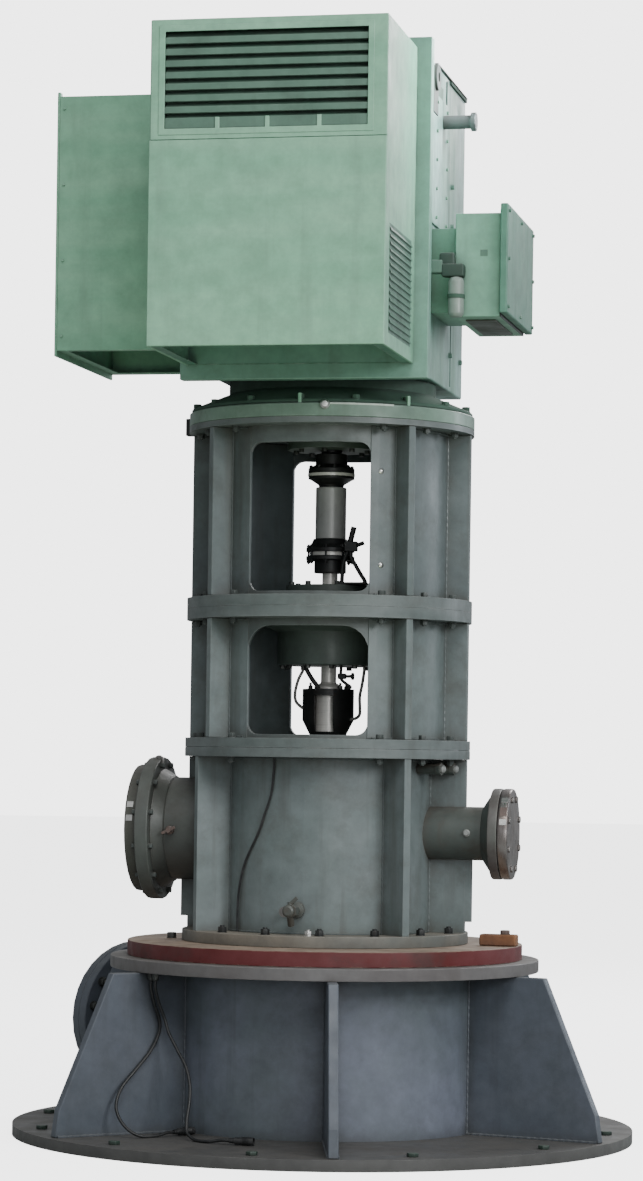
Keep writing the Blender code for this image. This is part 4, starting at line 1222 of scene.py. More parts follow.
@dataclass
class Can(SubAssembly):
    """The can with its ribs, welds, top flange and suction nozzle."""

    ribs: int = 6
    first_rib: float = 13.5
    rib_half: float = 0.019
    bead: float = 0.006
    bead_step: float = 0.014
    foot_end: float = 1.165
    suction_bearing: float = -130.0
    suction_z: float = 0.38
    suction_clamp: tuple[float, float] = (1.185, 1.275)
    stud_circle: float = 0.27
    suction_studs: int = 16

    def build(self) -> None:
        """Makes the can's pieces."""
        low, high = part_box("can_barrel")
        self.add("can_barrel_skin", spun(disc(high.x, low.z, high.z), 128), Coat.CAN, ("can_barrel",))
        for i, bearing in enumerate(every(self.first_rib, self.ribs), 1):
            self.dress(f"can_rib_{i}", Coat.CAN_RIB, 0.004)
            self.add(f"can_rib_{i}_welds", self.rib_welds(bearing, high.x), Coat.CAN_RIB)
        self.round("can_flange", Coat.CAN_FLANGE, 0.005)
        for node in ("suction_nozzle", "suction_blank"):
            self.dress(node, Coat.CAN_RIB, 0.004)
        spots = flange_spots(self.stud_circle, self.suction_studs)
        nuts = flange_nuts(nut(0.032, 0.008), self.suction_bearing, self.suction_z, self.suction_clamp, spots)
        self.add("suction_studs", nuts, Coat.BOLT)

    def rib_welds(self, bearing: float, radius: float) -> Shape:
        """The weld beads up both sides of a rib and along its foot.

        Args:
            bearing: where the rib stands.
            radius: the can's radius.

        Returns:
            The four beads.
        """
        _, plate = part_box("base_plate")
        _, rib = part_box("can_rib_1")
        bottom, top = plate.z + self.bead / 2, rib.z - self.bead / 2
        beads = []
        for side in (-1, 1):
            across = at_bearing(bearing + 90, self.rib_half) * side
            foot = at_bearing(bearing, radius + TOUCH, bottom) + across
            for end in (at_bearing(bearing, radius + TOUCH, top), at_bearing(bearing, self.foot_end, bottom)):
                beads.append(weld(straight_path(foot, end + across, self.bead_step), self.bead))
        return together(*beads)


@dataclass
class Cover(SubAssembly):
    """The cover plate with its red rim and what stands on it."""

    bolt_bearings: tuple[float, ...] = (-84.0, 174.0)
    bolt_circle: float = 0.6
    lug_bearing: float = 86.0
    lug_bolt_radius: float = 0.715

    def build(self) -> None:
        """Makes the cover, the jacking lug and the small bolts."""
        self.round("cover_plate", Coat.RED_RIM, 0.004)
        self.dress("jacking_lug", Coat.RUST, 0.006)
        _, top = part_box("cover_plate")
        _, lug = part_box("jacking_lug")
        self.add("cover_bolts", repeated(nut(0.032), ring_of(self.bolt_circle, top.z, self.bolt_bearings)), Coat.BOLT)
        place = upright(self.lug_bearing, self.lug_bolt_radius, lug.z - 0.006)
        self.add("lug_bolt", placed(softened(rod(0.02, 0.022, 6), 0.003, 1), place), Coat.BROWNED)


@dataclass
class RibbedShell(SubAssembly):
    """Weld beads and bolt rows that the head and both stools have alike."""

    rib_bearings: tuple[float, ...] = (-135.0, -90.0, -45.0, 45.0, 90.0, 135.0)
    shell: float = 0.41
    rib_half: float = 0.015
    bead: float = 0.005
    bead_step: float = 0.013
    bead_rise: float = 0.003

    def weld_shell(self, name: str, low: Vector, high: Vector, bays: Sequence[Bay]) -> None:
        """The beads beside a shell's ribs, and along the flanges above and below it.

        Args:
            name: what the two pieces' names start with.
            low: the shell's lowest corner.
            high: its highest corner.
            bays: the bearings from each rib to the next.
        """
        beads = []
        for bearing in self.rib_bearings:
            for side in (-1, 1):
                across = at_bearing(bearing + 90, self.rib_half) * side
                foot, head = (at_bearing(bearing, self.shell, z) + across for z in (low.z, high.z))
                beads.append(weld(straight_path(foot, head, self.bead_step), self.bead))
        self.add(f"{name}_rib_welds", together(*beads), Coat.BEAD)
        rings = [
            weld(arc_path(first, last, self.shell + 0.001, z, self.bead_step), self.bead)
            for z in (low.z + self.bead_rise, high.z - self.bead_rise) for first, last in bays
        ]
        self.add(f"{name}_ring_welds", together(*rings), Coat.BEAD)

    def joint_bolts(self, name: str, circle: float, clamp: Clamp, bearings: Sequence[float], across: float) -> None:
        """Heads on top of a flange joint and nuts with studs under it.

        Args:
            name: the piece's name.
            circle: the radius that the bolts stand on.
            clamp: the joint's underside and top.
            bearings: where they stand.
            across: how wide they are across the flats.
        """
        nuts = repeated(nut(across, 0.2 * across), ring_of(circle, clamp[0], bearings, True))
        heads = repeated(nut(across), ring_of(circle, clamp[1], bearings))
        self.add(name, together(heads, nuts), Coat.JOINT_BOLT)


@dataclass
class Head(RibbedShell):
    """The discharge head with its nuts, plugs and drain cock."""

    rib_bearings: tuple[float, ...] = (-135.0, -90.0, -54.0, 45.0, 90.0, 135.0)
    nut_circle: float = 0.505
    nuts: int = 15
    first_nut: float = 9.1
    cock_bearing: float = -3.5
    cock_z: float = 0.889
    plug_bearings: tuple[float, float] = (69.7, 84.2)
    plug_z: float = 1.427

    def build(self) -> None:
        """Makes the head's pieces."""
        self.round("head_base_flange", Coat.DUSTY)
        self.round("head_top_flange", Coat.JOINT)
        self.dress("head_body", Coat.STOOL)
        bays = bays_between([*self.rib_bearings, self.rib_bearings[0] + 360.0], 3.0)
        self.weld_shell("head", *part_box("head_body"), bays)
        _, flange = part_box("head_base_flange")
        places = ring_of(self.nut_circle, flange.z, every(self.first_nut, self.nuts))
        self.add("head_base_nuts", repeated(nut(0.03, 0.006), places), Coat.DARK_STEEL)
        self.add("head_bright_nut", placed(nut(0.026, 0.006), upright(4.6, 0.52, flange.z)), Coat.BRIGHT)
        self.build_cock()
        self.build_plugs()

    def build_cock(self) -> None:
        """The drain cock: its stub, hexagon body, outlet and lever."""
        wall = self.shell
        stub = [(0, wall), (0.03, wall), (0.03, wall + 0.012), (0.016, wall + 0.016), (0.016, 0.478), (0, 0.478)]
        end = [(0, 0.52), (0.019, 0.52), (0.022, 0.526), (0.022, 0.54), (0.015, 0.545), (0, 0.545)]
        body = together(
            spun(stub, 24, 0.002),
            spun(end, 24, 0.001),
            softened(placed(rod(0.029, 0.046, 6), moved(z=0.476)), 0.002),
            placed(rod(0.013, 0.018, 12), moved(y=0.015, z=0.499) @ turned(-90, "X")),
            placed(rod(0.013, 0.05, 12), moved(x=-0.004, y=-0.012, z=0.499) @ turned(120, "X")),
        )
        place = outward(self.cock_bearing, 0.0, self.cock_z)
        self.add("drain_cock_body", placed(body, place), Coat.GRIMY, ("drain_cock",))
        lever = slab((-0.007, 0.0, -0.003), (0.007, 0.036, 0.003), 0.002)
        tilt = place @ moved(y=0.026, z=0.508) @ turned(-48, "Z")
        self.add("drain_cock_lever", placed(lever, tilt), Coat.GRIMY)
        collar = spun(disc(0.02, 0.0, 0.012), 20, 0.002)
        self.add("drain_cock_tag", placed(collar, place @ moved(x=-0.024, y=-0.004, z=0.5)), Coat.BARE)

    def build_plugs(self) -> None:
        """Two capped gauge tappings under the head's top flange."""
        places = [outward(bearing, 0.0, self.plug_z) for bearing in self.plug_bearings]
        pipe = spun([(0, self.shell), (0.021, self.shell), (0.021, 0.5), (0, 0.5)], 20, 0.002)
        hexagon = placed(softened(rod(0.025, 0.02, 6), 0.002), moved(z=0.492))
        cap = spun([(0, 0.508), (0.015, 0.508), (0.015, 0.52), (0.009, 0.526), (0, 0.527)], 20, 0.001)
        self.add("gauge_tappings", repeated(together(pipe, hexagon), places), Coat.GRIMY)
        self.add("gauge_caps", repeated(cap, places), Coat.DULL_STEEL)


@dataclass
class Nozzles(SubAssembly):
    """The discharge nozzle on the left and the side nozzle on the right, with their studs."""

    z: float = 1.18
    discharge_clamp: tuple[float, float] = (0.648, 0.7)
    discharge_studs: int = 12
    discharge_circle: float = 0.253
    side_back: float = 0.655
    side_face: float = 0.693
    side_front: float = 0.7335
    side_rim: float = 0.175
    side_studs: int = 8
    side_circle: float = 0.143
    mark_thick: float = 0.0012

    def build(self) -> None:
        """Makes both nozzles."""
        self.dress("discharge_nozzle", Coat.NOZZLE, 0.004)
        self.dress("discharge_blank", Coat.DARK_BLANK, 0.005)
        self.build_side()
        self.build_discharge()
        self.build_discharge_marks()
        self.build_side_marks()

    def build_side(self) -> None:
        """The side nozzle's neck, flange, blank, studs and plug."""
        out = outward(90.0, 0.0, self.z)
        end = self.side_back - TOUCH
        neck = spun([(0, 0.3003), (0.103, 0.3003), (0.103, 0.618), (0.124, end), (0, end)], 96)
        self.add("side_nozzle_neck", placed(neck, out), Coat.GRIMY, ("side_nozzle",))
        flange = spun(disc(self.side_rim, self.side_back, self.side_face), 96, 0.007)
        self.add("side_nozzle_flange", placed(flange, out), Coat.BLANK)
        blank = spun(disc(self.side_rim, self.side_face + TOUCH, self.side_front), 96, 0.009)
        self.add("side_blank_skin", placed(blank, out), Coat.FACE, ("side_blank",))
        front = outward(90.0, self.side_front, self.z)
        spots = [front @ spot for spot in flange_spots(self.side_circle, self.side_studs)]
        self.add("side_studs", repeated(softened(rod(0.013, 0.007, 6), 0.001, 1), spots), Coat.BARE)
        cone = spun([(0.1032, 0.618), (0.11, 0.622), (0.158, 0.6542), (0.1032, 0.6542)], 64, 0.002)
        self.add("side_neck_cone", placed(cone, out), Coat.GRIMY)
        plug = spun([(0, 0), (0.014, 0), (0.014, 0.006), (0.009, 0.009), (0.009, 0.018), (0, 0.018)], 16, 0.001)
        self.add("side_neck_plug", placed(plug, moved(0.567, -0.1, 1.184) @ turned(90, "X")), Coat.DULL_STEEL)

    def build_discharge(self) -> None:
        """The discharge nozzle's studs, turned rings, welds and lifting eye."""
        low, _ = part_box("discharge_blank")
        spots = flange_spots(self.discharge_circle, self.discharge_studs)
        nuts = flange_nuts(nut(0.02), -90.0, self.z, self.discharge_clamp, spots)
        self.add("discharge_studs", nuts, Coat.JOINT_BOLT)
        rings = together(*(spun([(r, 0), (r + 0.006, 0), (r + 0.003, 0.003)], 64) for r in (0.17, 0.225)))
        self.add("discharge_blank_rings", placed(rings, outward(-90.0, -low.x, self.z)), Coat.DARK_BLANK)
        cone = spun([(0.2006, 0.6), (0.206, 0.604), (0.232, 0.6475), (0.2006, 0.6475)], 64, 0.002)
        self.add("discharge_neck_cone", placed(cone, outward(-90.0, 0.0, self.z)), Coat.NOZZLE)
        collar = spun([(0.2006, 0), (0.216, 0), (0.2006, 0.016)], 64)
        self.add("discharge_neck_weld", placed(collar, outward(-90.0, 0.404, self.z)), Coat.NOZZLE)
        eye = placed(spun(disc(0.02, -0.006, 0.006, 0.011), 24, 0.002), moved(-0.66, -0.05, 1.445) @ turned(90, "X"))
        shank = placed(rod(0.007, 0.03, 10), moved(-0.66, -0.05, 1.44) @ turned(180, "X") @ moved(z=-0.012))
        self.add("discharge_lifting_eye", together(eye, shank), Coat.BARE)

    def on_rim(self, node: str, x: float, z: float) -> Matrix:
        """A place on the front of a blank's rim, where local +Z points out of it.

        Args:
            node: the blank.
            x: how far to the right it is.
            z: how high it is.

        Returns:
            The place.
        """
        low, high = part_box(node)
        radius = (high.y - low.y) / 2 - 0.0003
        lean = math.asin((z - self.z) / radius)
        return moved(x, -radius * math.cos(lean), z) @ Matrix.Rotation(math.pi / 2 - lean, 4, "X")

    def build_side_marks(self) -> None:
        """The clip across the side blank's rim, with bright steel spots above and below it as painted highlights."""
        _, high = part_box("side_blank")
        # The bright spots above and below the clip are painted highlights.
        for name, z, half, coat in (
            ("side_rim_clip", 1.268, 0.019, Coat.BROWNED),
            ("side_rim_highlight_top", 1.312, 0.013, Coat.BRIGHT),
            ("side_rim_highlight_below", 1.229, 0.012, Coat.BRIGHT),
        ):
            mark = slab((-0.0135, -half, -0.001), (0.0135, half, self.mark_thick), 0.0005, 1)
            self.add(name, placed(mark, self.on_rim("side_blank", high.x - 0.018, z)), coat)

    def build_discharge_marks(self) -> None:
        """The bright spots on the blank's rim, rubbed steel and painted highlights both, and the brown plug on the
        neck.
        """
        low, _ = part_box("discharge_blank")
        # Two bright steel spots on the rim: rubbed steel and painted highlights both.
        spot = slab((-0.013, -0.012, 0.0), (0.013, 0.012, self.mark_thick), 0.0005, 1)
        places = [self.on_rim("discharge_blank", low.x + 0.02, z) for z in (1.274, 1.222)]
        self.add("discharge_rim_rubs_and_highlights", repeated(spot, places), Coat.BRIGHT)
        stem = spun([(0, 0), (0.017, 0), (0.017, 0.014), (0.01, 0.018), (0.01, 0.036), (0, 0.036)], 16, 0.001)
        bar = slab((-0.03, -0.006, 0.026), (0.03, 0.006, 0.034), 0.003)
        place = moved(-0.575, -0.1995, 1.176) @ turned(90, "X") @ turned(25, "Z")
        self.add("discharge_neck_plug", placed(together(stem, bar), place), Coat.BROWNED)


@dataclass
class Stools(RibbedShell):
    """The two windowed stools and the bolts through their flanges."""

    shell: float = 0.46
    bolt_circle: float = 0.508
    bolt_across: float = 0.026
    bolt_bearings: tuple[float, ...] = (34.0, 56.25, 78.75, 101.25, 123.75, 146.0)
    beside_rib: tuple[float, float] = (-56.25, -63.0)
    head_joint: tuple[float, float] = (1.463, 1.535)
    middle_joint: tuple[float, float] = (1.989, 2.074)
    top_joint: float = 2.7133
    window_edge: float = 30.5

    def build(self) -> None:
        """Makes both stools and their flange bolts."""
        bays = []
        edge = 45.0 - self.window_edge
        for ribs in (self.rib_bearings[:3], self.rib_bearings[3:]):
            bays += bays_between([ribs[0] - edge, *ribs, ribs[-1] + edge], 2.0)
        # The upper stool wears the darker copy as painted shade under the motor.
        for name, coat in (("lower_stool", Coat.STOOL), ("upper_stool", Coat.UPPER_SHADED)):
            for part, finish in (("left", coat), ("right", coat), ("base", Coat.JOINT), ("top", Coat.JOINT)):
                self.dress(f"{name}_{part}", finish)
            self.weld_shell(name, *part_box(f"{name}_left"), bays)
        bolts = [side * bearing for bearing in self.bolt_bearings for side in (-1, 1)]
        usual, shifted = self.beside_rib
        lower = [shifted if bearing == usual else bearing for bearing in bolts]
        self.joint_bolts("head_joint_bolts", self.bolt_circle, self.head_joint, lower, self.bolt_across)
        self.joint_bolts("middle_joint_bolts", self.bolt_circle, self.middle_joint, bolts, self.bolt_across)
        nuts = repeated(nut(self.bolt_across, 0.005), ring_of(self.bolt_circle, self.top_joint, bolts, True))
        self.add("top_joint_nuts", nuts, Coat.JOINT_BOLT)


PIPE_RUNS: dict[str, tuple[Coat, float, Path]] = {
    "flush_pipe_left": (Coat.PALE_PIPE, 0.006, (
        (-0.088, -0.05, 1.822), (-0.092, -0.05, 1.8), (-0.108, -0.055, 1.765), (-0.12, -0.055, 1.716),
        (-0.117, -0.05, 1.68), (-0.095, -0.03, 1.655),
    )),
    "flush_pipe_right": (Coat.PALE_PIPE, 0.006, (
        (0.149, -0.05, 1.822), (0.15, -0.05, 1.8), (0.144, -0.055, 1.75), (0.136, -0.06, 1.702),
        (0.137, -0.06, 1.66), (0.134, -0.05, 1.632), (0.118, -0.04, 1.618), (0.095, -0.03, 1.613),
    )),
    "cross_pipe_right": (Coat.HOSE, 0.006, (
        (0.085, -0.05, 1.732), (0.098, -0.055, 1.738), (0.08, -0.06, 1.752), (0.062, -0.06, 1.768),
        (0.06, -0.06, 1.79), (0.062, -0.06, 1.822),
    )),
    "gland_strut": (Coat.HOSE, 0.009, (
        (-0.073, -0.075, 1.822), (-0.071, -0.075, 1.803), (-0.05, -0.075, 1.768), (-0.03, -0.075, 1.742),
        (-0.026, -0.075, 1.731),
    )),
}


@dataclass
class Housings(SubAssembly):
    """The seal housing and the bearing housing with their small pipes."""

    gland_studs: int = 4
    gland_circle: float = 0.083
    cap_circle: float = 0.15
    cap_top: float = 2.13
    foot_circle: float = 0.18
    foot_bottom: float = 1.82

    def build(self) -> None:
        """Makes the housings, their bolts and pipes."""
        self.dress("seal_housing", Coat.DARK_STEEL, 0.003)
        self.dress("bearing_housing", Coat.BEARING, 0.004)
        _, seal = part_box("seal_housing")
        studs = ring_of(self.gland_circle, seal.z, every(45.0, self.gland_studs))
        self.add("gland_studs", repeated(nut(0.017, 0.012), studs), Coat.BOLT)
        cap = ring_of(self.cap_circle, self.cap_top, every(22.5, 8))
        foot = ring_of(self.foot_circle, self.foot_bottom, every(15.0, 12), True)
        self.add("bearing_bolts", repeated(nut(0.019), [*cap, *foot]), Coat.BOLT)
        for name, (coat, radius, run) in PIPE_RUNS.items():
            self.add(name, swept(smooth_path(run), radius, 12), coat)
        body = slab((0.052, -0.085, 1.768), (0.082, -0.055, 1.79), 0.003)
        stem = placed(rod(0.006, 0.035, 12), moved(0.08, -0.07, 1.779) @ turned(90, "Y"))
        wheel = placed(spun(disc(0.014, 0.0, 0.01), 20, 0.002), moved(0.104, -0.07, 1.779) @ turned(90, "Y"))
        self.add("flush_valve", together(body, stem, wheel), Coat.DARK_STEEL)


@dataclass
class Rotor(SubAssembly):
    """The shaft and the spacer coupling, which turn together."""

    bolts: int = 8
    lower_circle: float = 0.086
    lower_clamp: tuple[float, float] = (2.229, 2.278)
    upper_circle: float = 0.08
    upper_seat: float = 2.585

    def build(self) -> None:
        """Makes the turning pieces."""
        self.dress("pump_shaft", Coat.SHAFT, 0.002, "rotor")
        for node in ("lower_coupling_hub", "upper_coupling_hub"):
            self.dress(node, Coat.DARK_STEEL, 0.002, "rotor")
        tube = [(0, 2.3125), (0.0585, 2.3125), (0.0595, 2.3145), (0.0595, 2.508), (0.0575, 2.512), (0, 2.512)]
        self.turning("coupling_spacer_skin", spun(tube, 64, 0.001), Coat.COUPLING, ("coupling_spacer",))
        foot = [
            (0.05, 2.262), (0.094, 2.262), (0.094, 2.276), (0.09, 2.279), (0.074, 2.292), (0.066, 2.312),
            (0.05, 2.312),
        ]
        self.turning("spacer_foot", spun(foot, 64, 0.001), Coat.DARK_STEEL)
        neck = [
            (0.04, 2.5125), (0.047, 2.5125), (0.05, 2.522), (0.08, 2.541), (0.0895, 2.545), (0.0895, 2.5535),
            (0.04, 2.5535),
        ]
        self.turning("spacer_neck", spun(neck, 64, 0.001), Coat.DARK_STEEL)
        self.build_bolts()
        self.turning("lower_coupling_discs", spun(disc(0.08, 2.2465, 2.2615, 0.05), 48, 0.002), Coat.SHAFT)
        self.turning("upper_coupling_disc", spun(disc(0.0915, 2.554, 2.566, 0.05), 48, 0.002), Coat.SHAFT)

    def turning(self, name: str, shape: Shape, coat: Coat, stands_for: Sequence[str] = ()) -> None:
        """A finished piece that turns with the shaft."""
        self.add(name, shape, coat, stands_for, body="rotor")

    def build_bolts(self) -> None:
        """The bolts through the lower coupling's rim, and the heads on the upper one's."""
        bottom, top = self.lower_clamp
        bearings = every(0.0, self.bolts)
        ends = [*ring_of(self.lower_circle, bottom, bearings, True), *ring_of(self.lower_circle, top, bearings)]
        studs = repeated(rod(0.004, top - bottom, 10), ring_of(self.lower_circle, bottom, bearings))
        lower = together(repeated(nut(0.014, 0.004), ends), studs)
        self.turning("lower_coupling_bolts", lower, Coat.DARK_STEEL)
        heads = ring_of(self.upper_circle, self.upper_seat, every(20.0, self.bolts))
        self.turning("upper_coupling_bolts", repeated(nut(0.014, 0.003), heads), Coat.DARK_STEEL)


@dataclass
class Sensor(SubAssembly):
    """The speed sensor beside the lower coupling, with its bracket, and two plugs in the stool's wall."""

    y: float = -0.115
    plug_places: tuple[tuple[float, float], ...] = ((35.5, 2.544), (36.0, 2.191))
    stool_radius: float = 0.4601

    def build(self) -> None:
        """Makes the bracket with its two legs, and the sensor that it holds."""
        y = self.y
        foot = slab((0.06, y - 0.03, 2.1303), (0.168, y + 0.03, 2.139), 0.002)
        self.add("sensor_foot", foot, Coat.DARK_STEEL)
        leg = ((0.163, 2.136), (0.157, 2.15), (0.145, 2.168), (0.124, 2.203), (0.106, 2.235), (0.103, 2.275))
        brace = ((0.07, 2.136), (0.071, 2.165), (0.074, 2.205), (0.084, 2.24), (0.096, 2.265))
        for name, points in (("sensor_leg", leg), ("sensor_brace", brace)):
            self.add(name, swept(smooth_path([(x, y, z) for x, z in points]), 0.008, 10), Coat.DARK_STEEL)
        holder = slab((0.082, y - 0.018, 2.258), (0.129, y + 0.014, 2.296), 0.003)
        head = placed(rod(0.011, 0.062, 16), moved(0.1, y, 2.292) @ turned(14, "Y"))
        nose = placed(rod(0.008, 0.03, 16), moved(0.126, y, 2.281) @ turned(70, "Y"))
        self.add("sensor_head", together(holder, head, nose), Coat.DARK_STEEL)
        plug = spun([(0, -0.004), (0.01, -0.004), (0.01, 0.002), (0.006, 0.005), (0, 0.0055)], 20)
        places = [outward(bearing, self.stool_radius, z) for bearing, z in self.plug_places]
        self.add("stool_plugs", repeated(plug, places), Coat.BRIGHT)


@dataclass
class MotorFoot(SubAssembly):
    """The motor's flange, the cone above it and the locating key."""

    bolt_circle: float = 0.527
    bolt_seat: float = 2.7995
    ear_seat: float = 2.791
    ear_bearings: tuple[float, ...] = (-1.4, 43.0, 160.0)
    boss_circle: float = 0.14
    boss_bottom: float = 2.655

    def build(self) -> None:
        """Makes the flange, the cone and their bolts."""
        self.dress("motor_flange", Coat.WORN_GREEN, 0.004)
        self.dress("motor_cone", Coat.CONE, 0.004)
        self.dress("flange_key", Coat.DARK_STEEL, 0.003)
        heads = ring_of(self.bolt_circle, self.bolt_seat, every(-1.5, 16))
        self.add("motor_flange_bolts", repeated(nut(0.028), heads), Coat.CONE)
        knob = spun([(0, 0), (0.018, 0), (0.018, 0.01), (0.011, 0.018), (0, 0.019)], 20)
        self.add("flange_knob", placed(knob, outward(8.6, 0.5505, 2.78)), Coat.BRIGHT)
        # A pale arc on the flange's edge, from bearing 10.5 to 36: a painted highlight.
        highlight_arc = swept(arc_path(10.5, 36.0, 0.55, 2.783, 0.02), 0.0044, 8)
        self.add("motor_flange_highlight", highlight_arc, Coat.EDGE_HIGHLIGHT)
        ear = slab((-0.006, -0.022, -0.006), (0.006, 0.022, 0.032), 0.002)
        self.add("cone_ears", repeated(ear, ring_of(self.bolt_circle, self.ear_seat, self.ear_bearings)), Coat.MOTOR)
        boss = ring_of(self.boss_circle, self.boss_bottom, every(0.0, 8), True)
        self.add("boss_bolts", repeated(nut(0.019), boss), Coat.BOLT)
        self.add("motor_boss_cover", spun(disc(0.1715, 2.6546, 2.7345, 0.046), 64, 0.002), Coat.BEARING)


@dataclass
class Motor(SubAssembly):
    """The motor's frame with its panels, the plate across its front and the lifting gear."""

    panel_out: float = 0.008
    screw_inset: float = 0.03
    panel_back: float = 0.088
    panel_bottom: float = 3.5
    panel_top: float = 4.0
    rear_inset: float = 0.06

    def build(self) -> None:
        """Makes the frame, the panels and what is on them."""
        self.dress("motor_frame", Coat.FRAME, 0.006)
        # The front plate is in the darker green as painted shade behind the hood.
        self.dress("motor_front_plate", Coat.DULL_GREEN_AND_SHADE, 0.003)
        self.dress("lifting_trunnion", Coat.JOINT, 0.003)
        self.side_panel()
        self.side_ridges()
        self.rear_panel()
        low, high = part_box("motor_frame")
        lid = slab((low.x - 0.004, -0.14, high.z), (high.x + 0.008, high.y + 0.006, high.z + 0.005), 0.0015, 1)
        self.add("frame_top_sheet", lid, Coat.NOZZLE)
        for side, name in ((1, "right"), (-1, "left")):
            self.add(f"lifting_lug_{name}", self.lifting_lug(side, high), Coat.GRIMY)
        # A dark strip under the right lifting lug: painted shade.
        shade_strip = slab((-0.2, 4.006, 0.0), (0.02, 4.052, 0.0008), 0.0003, 1)
        self.add("lug_shade_strip", placed(shade_strip, outward(90.0, high.x)), Coat.SHADE_GREEN)

    def lifting_lug(self, side: int, corner: Vector) -> Shape:
        """A lifting eye near the top of one side.

        Args:
            side: 1 for the right and -1 for the left.
            corner: the frame's highest corner on the right.

        Returns:
            The eye with its foot.
        """
        eye = spun(disc(0.05, -0.008, 0.008, 0.018), 40, 0.003)
        seat = moved(side * (corner.x - 0.004), -0.2, corner.z - 0.062) @ turned(90, "Y") @ moved(z=side * 0.018)
        foot = slab((-0.02, -0.05, -0.008), (0.11, 0.05, 0.008), 0.003)
        below = moved(side * (corner.x + 0.004), -0.2, corner.z - 0.09) @ turned(90, "Y")
        return together(placed(eye, seat), placed(foot, below))

    def side_panel(self) -> None:
        """The bolted panel on the right side's front half, and the bolts on the half behind it."""
        low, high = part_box("motor_frame")
        front, back, bottom, top = low.y + 0.012, self.panel_back, self.panel_bottom, self.panel_top
        place = outward(90.0, high.x)
        sheet = slab((front, bottom, 0.0), (back, top, self.panel_out), 0.002, 1)
        self.add("side_panel", placed(sheet, place), Coat.FRAME)
        screws = [
            place @ moved(y, z, self.panel_out)
            for z in evenly(bottom, top, 5, self.screw_inset) for y in (front + 0.018, back - 0.018, -0.155)
        ]
        self.add("side_panel_screws", repeated(nut(0.012, washer=False), screws), Coat.MOTOR)
        rear = [place @ moved(y, z) for y, z in ((0.238, 3.711), (0.243, 3.556), (0.24, 3.05), (0.48, 3.05))]
        self.add("frame_side_bolts", repeated(nut(0.018), rear), Coat.DULL_GREEN_AND_SHADE)

    def side_ridges(self) -> None:
        """The seams on the right side and the ring round the trunnion."""
        low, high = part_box("motor_frame")
        place = outward(90.0, high.x)
        seams = together(
            block((0.092, self.panel_bottom, -0.001), (0.098, high.z - 0.02, 0.004)),
            block((0.262, low.z + 0.02, -0.001), (0.266, self.panel_bottom, 0.002)),
            block((0.172, high.z - 0.016, -0.001), (0.552, high.z - 0.004, 0.007)),
        )
        self.add("frame_side_ridges", placed(seams, place), Coat.CONE)
        root = spun(disc(0.04, -0.001, 0.006, 0.0265), 32, 0.001)
        self.add("trunnion_root", placed(root, place @ moved(0.0, 3.92)), Coat.CONE)

    def rear_panel(self) -> None:
        """The bolted cover on the frame's rear."""
        low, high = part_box("motor_frame")
        place = outward(180.0, high.y)
        bottom, top = low.z + self.rear_inset, high.z - self.rear_inset
        middle = (bottom + top) / 2
        cover = slab((low.x + 0.05, bottom, 0.0), (high.x - 0.05, top, self.panel_out), 0.002, 1)
        rib = slab((low.x + 0.09, middle - 0.02, 0.0), (high.x - 0.09, middle + 0.02, 0.022), 0.004)
        self.add("rear_panel", placed(together(cover, rib), place), Coat.MOTOR)
        side = high.x - 0.07
        spots = [(x, z) for z in evenly(bottom, top, 9, self.screw_inset) for x in (-side, side)]
        rows = (bottom + self.screw_inset, top - self.screw_inset)
        spots += [(x, z) for x in evenly(-side, side, 7)[1:-1] for z in rows]
        screws = [place @ moved(x, z, self.panel_out) for x, z in spots]
        self.add("rear_panel_screws", repeated(nut(0.016, washer=False), screws), Coat.CONE)


